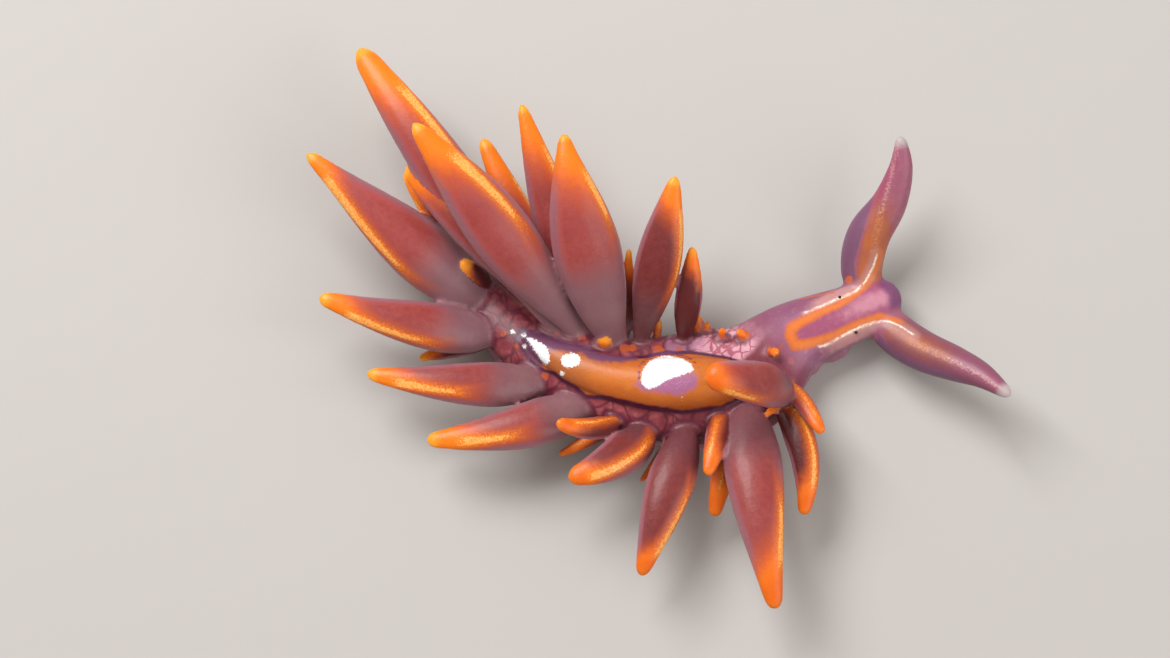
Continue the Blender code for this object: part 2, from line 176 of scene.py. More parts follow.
# %% One function that skins a stack of rings
ZONE_BODY, ZONE_CERAS, ZONE_FEELER = 0.0, 1.0, 2.0
Source = namedtuple("Source", "points faces local zone seed")
SOURCES = []


def sweep(rings, zone, local=None, seed=0.0):
    """Adds a closed sweep of rings, n by m points in mm. local is what each point knows of its place."""
    n, m = rings.shape[:2]
    local = np.zeros(rings.shape) if local is None else local
    points = np.vstack((rings.reshape(-1, 3), rings[0].mean(axis=0), rings[-1].mean(axis=0)))
    known = np.vstack((local.reshape(-1, 3), local[0].mean(axis=0), local[-1].mean(axis=0)))
    faces = []
    for i in range(n - 1):
        for k in range(m):
            a, b = i * m + k, i * m + (k + 1) % m
            faces.append((a, b, b + m, a + m))
    for k in range(m):
        faces.append((n * m, (k + 1) % m, k))
        faces.append((n * m + 1, (n - 1) * m + k, (n - 1) * m + (k + 1) % m))
    # a stack whose rings turn the other way gets its faces turned, so that they point outwards
    ring, above = rings[n // 2], rings[n // 2 + 1]
    around = np.cross(ring[1] - ring[0], above[0] - ring[0])
    if np.dot(around, ring[0] - ring.mean(axis=0)) < 0:
        faces = [face[::-1] for face in faces]
    SOURCES.append(Source(points, faces, known, zone, seed))


def signed_power(value, power):
    """A power that keeps the sign, so that it works on both sides of a section."""
    return np.sign(value) * np.abs(value) ** power


# %% [markdown]
# ## Trunk, sole and the ridge over the heart
#
# The trunk is a rounded tube that rests on a flat muscular sole with a thin, faintly wavy margin.
# Along the back runs a raised ridge that holds the heart and kidney. One tube could have all three
# in its section, but as three sweeps each keeps a section that is easy to write down.

# %% Trunk
RING_POINTS = 56
TRUNK_RINGS = 190
SNOUT_RINGS = 22


def add_trunk():
    """Adds the tube of the body, whose section is a rounded square."""
    # the rings crowd towards the snout's end
    round_off = (SNOUT_END - SNOUT_START) * np.sin(np.linspace(0.02, 1.53, SNOUT_RINGS))
    s = np.concatenate((np.linspace(0.0, SNOUT_START, TRUNK_RINGS), SNOUT_START + round_off))
    width, low, high = span(s)
    turn = 2 * np.pi * (np.arange(RING_POINTS) + 0.5) / RING_POINTS
    sideways, upwards = (signed_power(wave(turn), 2 / SECTION_POWER) for wave in (np.cos, np.sin))
    rings = []
    for i, station in enumerate(s):
        height = (low[i] + high[i]) / 2 + (high[i] - low[i]) / 2 * upwards
        rings.append(place(np.full(RING_POINTS, station), width[i] * sideways, height))
    sweep(np.array(rings), ZONE_BODY)


add_trunk()
print("trunk:", len(SOURCES[-1].points), "points")

# %% Sole
SOLE_RINGS = 170
FOOT_SHARE = 0.9
FOOT_MARGIN = 0.35
FOOT_FRONT = 8.2
FRONT_ROUND = 0.4
FRONT_OPEN = 0.004
FRONT_RINGS = 12
TAIL_SHARE, TAIL_WIDENS = 0.6, 1.6
TAIL_BEYOND = 0.5
TAIL_THIN = (0.3, 0.3, 0.6)
# the margin is two waves added up: their height in mm, radians of each in a station, and the share and
# start of the faster one
MARGIN_WAVE = 0.07
MARGIN_FAST, MARGIN_FASTER = 9.1, 15.7
FASTER_SHARE, FASTER_START = 0.6, 2
# one side of the section: share of the half width, and height
SOLE_RIM = np.array(((0.9, 0), (0.98, 0.04), (1, 0.14), (0.96, 0.26), (0.85, 0.4), (0.6, SOLE_THICKNESS)))
SOLE_TOP = np.array(((0.3, SOLE_THICKNESS), (0, SOLE_THICKNESS), (-0.3, SOLE_THICKNESS)))
SOLE_FLOOR = np.array(((-0.45, 0), (0, 0), (0.45, 0)))


def add_sole():
    """Adds the flat sole, wavy at its margin, thin at the tail and closed at the front."""
    round_off = FOOT_FRONT - FRONT_ROUND * (1 - np.linspace(0.1, 1, FRONT_RINGS)) ** 2
    s = np.concatenate(([0.0], np.linspace(0.02, FOOT_FRONT - FRONT_ROUND, SOLE_RINGS), round_off))
    here = between(STATIONS, s)
    # the front narrows to a hair's breadth and not to nothing, because a ring of no width has no faces
    front = np.sqrt(np.clip((FOOT_FRONT - s + FRONT_OPEN) / FRONT_ROUND, 0.0, 1.0))
    shut = front * np.clip(TAIL_SHARE + s * TAIL_WIDENS, 0.0, 1.0)
    shape = np.vstack((SOLE_RIM, SOLE_TOP, SOLE_RIM[::-1] * (-1, 1), SOLE_FLOOR))
    rings = []
    for i, station in enumerate(s):
        faster = FASTER_SHARE * math.sin(station * MARGIN_FASTER + FASTER_START)
        wave = MARGIN_WAVE * (math.sin(station * MARGIN_FAST) + faster)
        half = ((here[i, 2] * FOOT_SHARE + FOOT_MARGIN) + wave) * shut[i]
        height = max(here[i, 4], 0) + shape[:, 1]
        rings.append(place(np.full(len(shape), station), half * shape[:, 0], height))
    tail = place_one(0.0)
    beyond = tail + unit(tail - place_one(0.2)) * TAIL_BEYOND
    thin_end = beyond + (rings[0] - tail) * TAIL_THIN
    sweep(np.array([thin_end] + rings), ZONE_BODY)


add_sole()
print("sole:", len(SOURCES[-1].points), "points")

# %% The ridge over heart and kidney
# station, half width, height above the back
RIDGE = (
    (2.2, 0.3, 0.3),
    (2.5, 0.6, 0.4),
    (3.0, 0.95, 0.5),
    (4.0, 1.25, 0.7),
    (4.6, 1.4, 0.8),
    (5.3, 1.35, 0.85),
    (5.8, 1.05, 0.7),
    (6.0, 0.7, 0.5),
    (6.12, 0.3, 0.3),
)
RIDGE_RINGS = 90
RIDGE_POINTS = 21
RIDGE_STAND = 0.35
RIDGE_ROUNDNESS = 0.4
RIDGE_RIM = 0.15
RIDGE_ROOT = 0.8


def add_ridge():
    """Adds the ridge, sunk into the back, and returns the height of its top."""
    shares = np.linspace(-1, 1, RIDGE_POINTS)
    rings = []
    for station in np.linspace(RIDGE[0][0], RIDGE[-1][0], RIDGE_RINGS):
        half, height = column(RIDGE, station, 1), column(RIDGE, station, 2)
        at = np.full(RIDGE_POINTS, station)
        base = back_height(at, half * shares)
        crown = base + (RIDGE_STAND + height) * (1 - shares**2) ** RIDGE_ROUNDNESS - RIDGE_RIM
        top = place(at, half * shares, crown)
        under = place(at, half * shares[::-1], base[::-1] - RIDGE_ROOT)
        rings.append(np.vstack((top, under)))
    sweep(np.array(rings), ZONE_BODY)
    return np.max(rings, axis=(0, 1))[2]


print("ridge: its top is", round(add_ridge(), 2), "mm above the floor")

# %% [markdown]
# ## Lips
#
# The mouth is an upright slit between two soft lips, low on the snout. The slit could be cut out, but
# two stretched balls side by side leave one between them, because the skin is drawn over all sources
# together.

# %% Stretched balls
LIP_STATION = 8.76
LIP_ACROSS = 0.4
LIP_HEIGHT = 1.75
LIP_SIZE = (0.62, 0.46, 0.52)
BALL_SIDES = 24
BALL_RINGS = 12
BALL_POLE = 0.12


def add_ball(centre, radii):
    """Adds a ball stretched along, across and upright, with a small flat at each pole."""
    turns = np.linspace(0, 2 * np.pi, BALL_SIDES, endpoint=False)
    left = left_at(np.full(1, SNOUT_START))[0]
    ahead = np.cross(left, UP)
    rings = []
    for polar in np.linspace(BALL_POLE, math.pi - BALL_POLE, BALL_RINGS):
        ring = (
            centre
            - ahead * radii[0] * math.cos(polar)
            + np.outer(np.cos(turns), left) * radii[1] * math.sin(polar)
            + np.outer(np.sin(turns), UP) * radii[2] * math.sin(polar)
        )
        rings.append(ring)
    sweep(np.array(rings), ZONE_BODY)


for side in (1, -1):
    add_ball(place_one(LIP_STATION, side * LIP_ACROSS, LIP_HEIGHT), LIP_SIZE)
print("sources so far:", len(SOURCES))

# %% [markdown]
# ## Cerata
#
# Cerata are soft fingers that grow from both flanks and hold branches of the gut. Each has a narrow
# stalk, a rounded shoulder, an even taper and a rounded tip, and is flattened like a leaf. Copies of
# one finger would look alike, so each has a row of its own sizes, and one function sweeps it along a
# curve from a root on the flank to a tip in the air. Small buds stand between the large ones.

# %% The table of cerata
CERAS_PROFILE = (0.0, 0.07, 0.15, 0.28, 0.45, 0.62, 0.78, 0.9, 1.0)
CERAS_WIDTH = (0.32, 0.65, 0.87, 1.0, 0.94, 0.78, 0.59, 0.44, 0.31)
CERAS_WIDEST = 0.28
CERAS_TIP = 0.05
CERAS_TIP_END = 0.02
CERAS_FLATNESS = 0.6
ROOT_DEPTH = 0.55
ROOT_ACROSS = 0.95
CORE_SHARE = 0.4
GUIDE_REACH = 1.6
CERAS_RINGS = 64
CERAS_CROWD = 1.35
CERAS_SIDES = 28
STATION_STEPS = 901

# Form: root, tip, width, arch, sway, share of the length where it bends, slimness, and share where it
# is widest.
# Looks: where the orange stripe runs round the section in degrees (0 is the right edge, 90 the upper
# face and 180 the left edge, seen from root to tip), how far down from the tip it reaches, how dark
# the gland is, partly its own colour and partly painted shade on cerata that lie low under others,
# and how many millimetres of the tip are orange.
FORM = "root_x root_y tip_x tip_y tip_z width arch sway bend slim swell"
LOOKS = "stripe_turn stripe_reach dark tip_length"
Ceras = namedtuple("Ceras", f"{FORM} {LOOKS}")
CERATA_ROWS = (
    (-8.0, 3.7, -16.65, 10.85, 5.2, 3.25, 0.9, 0.1, 0.45, 1.5, 0.32, 148, 0.62, 0.1, 1.6),
    (-7.7, 1.95, -16.0, 3.7, 4.3, 2.5, 0.7, 0.35, 0.45, 1.1, 0.28, 140, 0.62, 0.25, 1.6),
    (-7.8, 4.6, -11.85, 10.25, 3.4, 1.2, 0.8, 0.1, 0.45, 0.8, 0.45, 150, 0.9, 0.7, 1.6),
    (-7.75, 1.85, -11.15, 1.05, 1.5, 1.2, 0.1, 0.0, 0.45, 1.0, 0.28, 60, 0.5, 0.9, 0.8),
    (-7.5, 4.75, -8.9, 5.65, 3.5, 1.2, 0.1, 0.0, 0.45, 0.8, 0.35, 150, 0.6, 0.9, 0.6),
    (-3.8, 2.5, -11.65, 10.3, 4.8, 2.0, 1.6, 0.0, 0.45, 0.6, 0.6, 75, 0.5, 0.1, 1.8),
    (-3.6, 2.3, -14.1, 16.2, 5.2, 2.8, 1.6, 0.35, 0.45, 0.9, 0.5, 46, 0.5, 0.0, 3.0),
    (-2.6, 2.3, -11.2, 11.6, 8.5, 3.15, 1.4, 0.2, 0.45, 1.35, 0.48, 52, 0.5, 0.0, 2.6),
    (-3.2, 2.6, -7.95, 12.0, 3.5, 2.0, 0.3, 0.1, 0.45, 1.0, 0.4, 25, 0.42, 0.1, 2.4),
    (-2.4, 2.3, -5.95, 13.3, 5.6, 2.2, 0.6, 0.1, 0.45, 1.3, 0.45, 35, 0.45, 0.1, 2.6),
    (-1.1, 1.85, -3.8, 11.2, 8.0, 3.4, 1.2, 0.4, 0.6, 1.65, 0.37, 28, 0.5, 0.0, 3.0),
    (0.0, 1.9, 1.7, 9.3, 7.0, 2.3, 0.8, -0.12, 0.45, 1.3, 0.47, 25, 0.6, 0.6, 1.8),
    (-0.6, 2.2, -0.55, 6.4, 3.4, 0.9, 0.3, 0.0, 0.45, 1.0, 0.4, 90, 0.25, 0.5, 1.2),
    (-4.8, -0.6, -13.65, 0.0, 3.4, 2.3, 0.6, 0.35, 0.45, 1.1, 0.3, 120, 0.5, 0.35, 1.5),
    (-2.6, -1.7, -10.65, -3.3, 3.0, 2.4, 0.6, 0.5, 0.45, 1.05, 0.3, 114, 0.5, 0.3, 1.7),
    (-3.6, -1.2, -6.3, -3.55, 1.3, 1.1, 0.1, 0.0, 0.45, 0.8, 0.28, 90, 0.5, 0.7, 1.2),
    (-1.0, -3.15, -4.2, -2.72, 5.2, 1.2, 0.4, 0.4, 0.45, 0.6, 0.35, 60, 0.95, 0.8, 1.2),
    (0.55, -2.95, -3.6, -5.4, 4.4, 2.15, 0.6, 0.5, 0.45, 0.85, 0.35, 118, 0.8, 0.6, 1.1),
    (-1.0, -2.7, -4.1, -3.9, 1.9, 0.9, 0.1, 0.0, 0.45, 0.8, 0.28, 90, 0.6, 0.9, 1.0),
    (0.8, 2.0, 0.95, 2.95, 2.7, 0.55, 0.0, 0.0, 0.45, 0.6, 0.5, 90, 0.9, 0.3, 0.5),
    (-1.75, 1.5, -1.75, 1.9, 3.3, 0.75, 0.0, 0.0, 0.45, 0.5, 0.5, 90, 0.2, 0.5, 0.5),
    (2.05, 1.95, 2.58, 6.15, 5.0, 1.4, 0.4, -0.15, 0.45, 1.1, 0.42, 20, 0.35, 0.95, 1.2),
    (2.6, -2.75, 0.0, -10.15, 3.4, 2.4, 0.8, -0.1, 0.45, 1.15, 0.38, 150, 0.55, 0.55, 1.2),
    (2.4, -2.8, -0.05, -5.25, 1.6, 0.9, 0.1, 0.0, 0.45, 1.0, 0.28, 90, 0.5, 1.0, 1.0),
    (7.8, -1.0, 3.0, -0.8, 8.0, 2.3, 2.2, 0.2, 0.45, 0.55, 0.28, 150, 0.5, 0.25, 1.6),
    (7.5, -0.3, 9.0, -3.2, 4.3, 1.0, 0.3, 0.0, 0.45, 0.7, 0.45, 110, 0.98, 0.4, 1.0),
    (6.8, -1.1, 8.05, -7.1, 3.0, 1.6, 0.4, 0.95, 0.45, 0.85, 0.4, 125, 0.97, 0.95, 1.4),
    (5.4, -1.7, 6.58, -11.9, 4.4, 2.95, 0.9, -0.2, 0.45, 1.15, 0.3, 150, 0.5, 0.3, 2.2),
    (4.2, -2.2, 3.25, -5.3, 4.4, 1.3, 0.4, 0.0, 0.45, 0.75, 0.3, 70, 0.8, 0.8, 1.2),
    (4.7, -2.2, 3.65, -7.1, 2.4, 1.5, 0.2, 0.0, 0.45, 0.75, 0.28, 90, 0.5, 1.0, 1.5),
    (7.3, -1.4, 6.25, -2.05, 3.4, 0.6, 0.1, 0.0, 0.45, 0.6, 0.4, 90, 0.95, 0.3, 0.6),
    (2.9, 2.2, 2.83, 3.2, 2.7, 0.65, 0.0, 0.0, 0.45, 0.5, 0.5, 90, 0.9, 0.2, 0.5),
    (3.4, 2.2, 3.4, 2.85, 2.5, 0.4, 0.0, 0.0, 0.45, 0.5, 0.5, 90, 0.6, 0.1, 0.4),
    (4.1, 1.9, 4.1, 2.4, 3.2, 0.5, 0.0, 0.0, 0.45, 0.5, 0.5, 90, 0.3, 0.0, 0.5),
    (5.7, 1.95, 4.75, 2.15, 3.1, 0.55, 0.0, 0.0, 0.45, 0.6, 0.6, 90, 0.95, 0.1, 0.5),
    (6.25, 1.4, 6.9, 0.9, 3.7, 0.6, 0.0, 0.0, 0.45, 0.6, 0.6, 90, 0.95, 0.3, 0.5),
)
CERATA = [Ceras(*row) for row in CERATA_ROWS]
print("cerata and buds:", len(CERATA))

# %% Sweeping each ceras from the flank


def nearest_station(x, y):
    """The station nearest to a spot seen from above, and how far the spot lies to the left of it."""
    s = np.linspace(0, len(STATIONS) - 1, STATION_STEPS)
    here = between(STATIONS, s)
    best = s[np.argmin((here[:, 0] - x) ** 2 + (here[:, 1] - y) ** 2)]
    spot = between(STATIONS, best)[0]
    return best, float(left_at(best)[0][:2] @ (x - spot[0], y - spot[1]))


def ceras_path(ceras, t):
    """Points of the curve from the sunk root to the tip."""
    s, across = nearest_station(ceras.root_x, ceras.root_y)
    width, low, high = span(s)
    across = min(max(across, -ROOT_ACROSS * width[0]), ROOT_ACROSS * width[0])
    root = place(s, across, back_height(s, across))[0]
    core = place(s, across * CORE_SHARE, (low + high) / 2)[0]
    start = root + unit(core - root) * ROOT_DEPTH
    tip = np.array((ceras.tip_x, ceras.tip_y, ceras.tip_z))
    side = unit(np.cross(tip - root, UP))
    guide = root + (tip - root) * ceras.bend + (UP * ceras.arch - side * ceras.sway) * GUIDE_REACH
    t = t[:, None]
    return start * (1 - t) ** 2 + guide * 2 * t * (1 - t) + tip * t**2


def ceras_half(ceras, t):
    """Half the width at shares of the length, rounded off at the tip."""
    at = t ** (math.log(CERAS_WIDEST) / math.log(ceras.swell))
    places = np.interp(at, CERAS_PROFILE, np.arange(len(CERAS_PROFILE)))
    share = between(CERAS_WIDTH, places)[:, 0] ** np.where(at > CERAS_WIDEST, ceras.slim, 1.0)
    tip_half = ceras.width / 2 * CERAS_WIDTH[-1] ** ceras.slim
    span_seen = math.dist((ceras.root_x, ceras.root_y), (ceras.tip_x, ceras.tip_y))
    rounding = max(CERAS_TIP, tip_half / span_seen)
    past = np.clip((t - 1 + rounding) / rounding, 0, 1)
    return ceras.width / 2 * share * np.maximum(np.sqrt(1 - past**2), CERAS_TIP_END)


def frames_along(centre):
    """Directions to the side and to the top at each point of a line."""
    ahead = unit(np.gradient(centre, axis=0))
    side = unit(np.cross(ahead, UP))
    return side, np.cross(side, ahead)


def add_ceras(ceras, seed):
    """Adds one ceras and returns its length."""
    # the rings crowd towards the tip, where the form turns fastest
    t = 1 - (1 - np.linspace(0, 1, CERAS_RINGS)) ** CERAS_CROWD
    centre = ceras_path(ceras, t)
    side, top = frames_along(centre)
    half = ceras_half(ceras, t)
    turn = 2 * np.pi * np.arange(CERAS_SIDES) / CERAS_SIDES
    right = half[:, None] * np.cos(turn)
    up = half[:, None] * np.sin(turn)
    sideways = side[:, None] * right[..., None]
    upwards = top[:, None] * (up * CERAS_FLATNESS)[..., None]
    rings = centre[:, None] + sideways + upwards
    # what each point knows: its share of the length, and its place right and up in the section
    share = np.repeat(t[:, None], CERAS_SIDES, axis=1)
    sweep(rings, ZONE_CERAS, np.stack((share, right, up), axis=-1), seed)
    return np.linalg.norm(np.diff(centre, axis=0), axis=1).sum()


lengths = [add_ceras(ceras, k + 1) for k, ceras in enumerate(CERATA)]
print(f"cerata: from {min(lengths):.1f} to {max(lengths):.1f} mm long")

# %% [markdown]
# ## Rolled feelers
#
# The two rhinophores smell the water. Each is a sheet of skin rolled round its own line and open
# below. A flat sheet could be bent into a roll, but a ring that is an arc over the top and the same
# arc back inside gives the roll and the sheet's thickness at once.

# %% Rhinophores
# x, y, z and half width at the rows along each feeler
FEELER_LEFT = (
    (11.6, 4.0, 1.7, 0.8),
    (11.2, 5.5, 1.95, 1.05),
    (11.5, 7.1, 2.75, 1.1),
    (12.5, 8.6, 3.6, 0.9),
    (13.02, 10.2, 4.6, 0.62),
    (12.97, 11.7, 5.4, 0.25),
)
FEELER_RIGHT = (
    (12.0, 3.6, 1.7, 0.8),
    (12.75, 2.4, 1.9, 1.05),
    (14.1, 1.35, 2.35, 1.05),
    (15.7, 0.55, 3.0, 0.9),
    (17.0, -0.2, 3.8, 0.65),
    (18.3, -1.35, 4.6, 0.27),
)
FEELER_WALL = 0.45
FEELER_ROLL = 128
FEELER_FLATNESS = 0.8
FEELER_RINGS = 60
TIP_RINGS = 14
ARC_POINTS = 33
# counted in rows: where the close rings of the tip start, and where the tip rounds off
FEELER_CLOSE = 0.4
FEELER_ROUND = 0.25
FEELER_CROWD = 1.6
INNER_SHARE = 0.12
TIP_END_SHARE = 0.01


def add_feeler(rows, seed):
    """Adds one rolled feeler and returns its length."""
    last = len(rows) - 1
    close = last - FEELER_CLOSE * (1 - np.linspace(0.1, 1, TIP_RINGS)) ** FEELER_CROWD
    at = np.concatenate((np.linspace(0, last - FEELER_CLOSE, FEELER_RINGS), close))
    here = between(rows, at)
    centre, outer = here[:, :3], here[:, 3]
    past = np.clip((at - last + FEELER_ROUND) / FEELER_ROUND, 0, 1)
    outer = outer * np.sqrt(np.maximum(1 - past**2, TIP_END_SHARE))
    inner = np.maximum(outer - FEELER_WALL, outer * INNER_SHARE)
    side, top = frames_along(centre)
    arc = np.radians(np.linspace(-FEELER_ROLL, FEELER_ROLL, ARC_POINTS))
    turn = np.concatenate((arc, arc[::-1]))
    hollow = np.repeat((0.0, 1.0), ARC_POINTS)
    rings = []
    local = []
    for i, place_along in enumerate(at):
        half = np.where(hollow > 0, inner[i], outer[i])
        spot = np.outer(np.sin(turn), side[i]) + np.outer(np.cos(turn), top[i]) * FEELER_FLATNESS
        rings.append(centre[i] + spot * half[:, None])
        # what each point knows: its row, its angle from the top, and whether it lies inside the roll
        local.append(np.column_stack((np.full(len(turn), place_along), np.degrees(turn), hollow)))
    sweep(np.array(rings), ZONE_FEELER, np.array(local), seed)
    return sum(math.dist(a[:3], b[:3]) for a, b in zip(rows, rows[1:]))


for seed, rows in enumerate((FEELER_LEFT, FEELER_RIGHT), start=1):
    print("feeler:", round(add_feeler(rows, seed), 1), "mm long")

# %% [markdown]
# ## One skin over everything
#
# All sweeps overlap like clay stuck together. Boolean unions would leave sharp creases and uneven
# faces. A voxel remesh wraps them all in one even skin instead, which is then thinned.

# %% Wrapping the sources
VOXEL = 0.1
SKIN_TRIANGLES = 188000


def new_object(name, data):
    """An object at the origin, linked to the scene."""
    made = bpy.data.objects.new(name, data)
    bpy.context.scene.collection.objects.link(made)
    return made


def source_object():
    """All sweeps in one mesh, with what each point knows as attributes."""
    points = np.vstack([source.points for source in SOURCES]) * MM
    starts = np.cumsum([0] + [len(source.points) for source in SOURCES])
    faces = []
    for source, start in zip(SOURCES, starts):
        faces.extend(tuple(v + start for v in face) for face in source.faces)
    mesh = bpy.data.meshes.new("sources")
    mesh.from_pydata(points.tolist(), [], faces)
    local = mesh.attributes.new("local", "FLOAT_VECTOR", "POINT")
    local.data.foreach_set("vector", np.vstack([source.local for source in SOURCES]).ravel())
    for name in ("zone", "seed"):
        values = np.concatenate([np.full(len(source.points), getattr(source, name)) for source in SOURCES])
        mesh.attributes.new(name, "FLOAT", "POINT").data.foreach_set("value", values)
    return new_object("sources", mesh)


def applied(obj):
    """The object's mesh with its modifiers applied."""
    graph = bpy.context.evaluated_depsgraph_get()
    mesh = bpy.data.meshes.new_from_object(obj.evaluated_get(graph))
    obj.modifiers.clear()
    obj.data = mesh
    return mesh


sources = source_object()
skin = new_object("slug_skin", sources.data.copy())
wrap = skin.modifiers.new("wrap", "REMESH")
wrap.mode = "VOXEL"
wrap.voxel_size = VOXEL * MM
mesh = applied(skin)
print("wrapped:", len(mesh.polygons), "faces")

# %% [markdown]
# ## Carrying the numbers over
#
# The remesh forgets which point was what. A Data Transfer modifier could fetch it back, but a small
# geometry-nodes tree does more: for every skin point it finds the nearest spot on the sources, reads
# the numbers there and stores them on the skin. It also rounds the crease where a ceras or feeler
# meets the body, as living tissue does, and lays the material on.

# %% A helper that adds a node with its settings and links


def add_node(tree, kind, links=None, **settings):
    """Adds a node, sets its properties, and feeds each input from a socket or a value."""
    node = tree.nodes.new(kind)
    for name, value in settings.items():
        setattr(node, name, value)
    for key, value in (links or {}).items():
        socket = node.inputs[key]
        if isinstance(value, bpy.types.NodeSocket):
            tree.links.new(value, socket)
        else:
            socket.default_value = value
    return node


# %% The tree that rounds creases and reads the sources
CREASE_REACH = 5
CREASE_ROUNDS = 10
CREASE_PULL = 3.6
EVEN_PULL = 0.06
ZONE_BLUR = 3
ZONE_MARGIN = 0.5
READ_FROM_SOURCES = (("local", "FLOAT_VECTOR"), ("seed", "FLOAT"), ("zone", "FLOAT"))
TREE_INPUTS = (
    ("Geometry", "NodeSocketGeometry"),
    ("Sources", "NodeSocketObject"),
    ("Crease reach", "NodeSocketInt"),
    ("Crease rounds", "NodeSocketInt"),
    ("Crease pull", "NodeSocketFloat"),
    ("Even pull", "NodeSocketFloat"),
    ("Zone blur", "NodeSocketInt"),
    ("Skin", "NodeSocketMaterial"),
)


def skin_tree():
    """Rounds the creases of a skin, stores what the sources know on it, and gives it its material."""
    tree = bpy.data.node_groups.new("skin_from_sources", "GeometryNodeTree")
    for name, kind in TREE_INPUTS:
        tree.interface.new_socket(name, in_out="INPUT", socket_type=kind)
    tree.interface.new_socket("Geometry", in_out="OUTPUT", socket_type="NodeSocketGeometry")
    start = add_node(tree, "NodeGroupInput").outputs
    target = add_node(tree, "GeometryNodeObjectInfo", {"Object": start["Sources"]}).outputs["Geometry"]
    read = {}
    for name, kind in READ_FROM_SOURCES:
        field = add_node(tree, "GeometryNodeInputNamedAttribute", {"Name": name}, data_type=kind)
        links = {"Mesh": target, "Value": field.outputs["Attribute"]}
        nearest = add_node(tree, "GeometryNodeSampleNearestSurface", links, data_type=kind)
        read[name] = nearest.outputs["Value"]
    # a crease is where body and limb, zones 0 and 1 or more, lie near each other
    limb = add_node(tree, "ShaderNodeMath", {0: read["zone"], 1: 1.0}, operation="MINIMUM").outputs[0]
    links = {"Value": limb, "Iterations": start["Crease reach"]}
    near = add_node(tree, "GeometryNodeBlurAttribute", links, data_type="FLOAT").outputs[0]
    rest = add_node(tree, "ShaderNodeMath", {0: 1.0, 1: near}, operation="SUBTRACT").outputs[0]
    crease = add_node(tree, "ShaderNodeMath", {0: near, 1: rest}, operation="MULTIPLY").outputs[0]
    links = {0: crease, 1: start["Crease pull"], 2: start["Even pull"]}
    weight = add_node(tree, "ShaderNodeMath", links, operation="MULTIPLY_ADD", use_clamp=True).outputs[0]
    position = add_node(tree, "GeometryNodeInputPosition").outputs[0]
    links = {"Value": position, "Iterations": start["Crease rounds"], "Weight": weight}
    rounded = add_node(tree, "GeometryNodeBlurAttribute", links, data_type="FLOAT_VECTOR").outputs["Value"]
    links = {"Geometry": start["Geometry"], "Position": rounded}
    flow = add_node(tree, "GeometryNodeSetPosition", links).outputs["Geometry"]
    stored = [(name, read[name], kind) for name, kind in READ_FROM_SOURCES]
    for name, value in (("is_ceras", ZONE_CERAS), ("is_feeler", ZONE_FEELER)):
        links = {"A": read["zone"], "B": value, "Epsilon": ZONE_MARGIN}
        same = add_node(tree, "FunctionNodeCompare", links, data_type="FLOAT", operation="EQUAL").outputs[0]
        links = {"Value": same, "Iterations": start["Zone blur"]}
        blurred = add_node(tree, "GeometryNodeBlurAttribute", links, data_type="FLOAT").outputs["Value"]
        stored.append((name, blurred, "FLOAT"))
    for name, value, kind in stored:
        links = {"Geometry": flow, "Name": name, "Value": value}
        keep = add_node(tree, "GeometryNodeStoreNamedAttribute", links, data_type=kind, domain="POINT")
        flow = keep.outputs["Geometry"]
    flow = add_node(tree, "GeometryNodeRealizeInstances", {"Geometry": flow}).outputs["Geometry"]
    links = {"Geometry": flow, "Material": start["Skin"]}
    flow = add_node(tree, "GeometryNodeSetMaterial", links).outputs["Geometry"]
    add_node(tree, "NodeGroupOutput", {"Geometry": flow})
    return tree


# %% The material of the skin


def new_material(name, settings):
    """A material whose shader has the given settings, such as its roughness."""
    made = bpy.data.materials.new(name)
    made.use_nodes = True
    inputs = made.node_tree.nodes["Principled BSDF"].inputs
    for key, value in settings.items():
        inputs[key].default_value = value
    return made


# Living tissue under a thin film of water: the film gives a faint broad gloss, and light that spreads
# inside the tissue softens every shade. Its colours follow further down.
slug_skin = new_material(
    "wet_slug_skin",
    {
        "Roughness": 0.42,
        "IOR": 1.36,
        "Subsurface Weight": 0.3,
        "Subsurface Radius": (1.0, 0.4, 0.3),
        "Subsurface Scale": 0.35 * MM,
        "Coat Weight": 0.12,
        "Coat Roughness": 0.2,
    },
)
print("material:", slug_skin.name)

# %% Thinning the wrap and running the tree
thin = skin.modifiers.new("thin", "DECIMATE")
thin.ratio = min(1.0, SKIN_TRIANGLES / (2 * len(mesh.polygons)))
mesh = applied(skin)
tree = skin_tree()
carry = skin.modifiers.new("carry", "NODES")
carry.node_group = tree
tree_values = {
    "Sources": sources,
    "Crease reach": CREASE_REACH,
    "Crease rounds": CREASE_ROUNDS,
    "Crease pull": CREASE_PULL,
    "Even pull": EVEN_PULL,
    "Zone blur": ZONE_BLUR,
    "Skin": slug_skin,
}
for item in tree.interface.items_tree:
    if item.name in tree_values:
        carry[item.identifier] = tree_values[item.name]
mesh = applied(skin)
mesh.shade_smooth()
bpy.data.objects.remove(sources)
print("skin:", len(mesh.vertices), "points,", sum(len(p.vertices) - 2 for p in mesh.polygons), "triangles")

# %% [markdown]
# ## What each skin point knows
#
# Skin colours lie in zones: round a gland, along a stripe, beside a line. They could be painted on an
# image, but an image has a fixed grain. Each point of the skin stores a few numbers instead, such as
# how deep it lies inside a patch in millimetres. The material compares them with noise, so the
# borders come out soft, crisp or ragged as on the animal.

# %% Reading the skin back, and ways to measure on it
FAR = 99.0


def read(name, width=1):
    """One stored number, or a group of them, for every skin point."""
    values = np.empty(len(mesh.vertices) * width)
    mesh.attributes[name].data.foreach_get("vector" if width == 3 else "value", values)
    return values.reshape(-1, width) if width > 1 else values


def store(name, values):
    """Stores a number for every skin point under a name that the material can ask for."""
    mesh.attributes.new(name, "FLOAT", "POINT").data.foreach_set("value", np.asarray(values, float))


def soft(value, low, high):
    """Smooth change from 0 to 1 while value goes from low to high."""
    share = np.clip((value - low) / (high - low), 0, 1)
    return share * share * (3 - 2 * share)


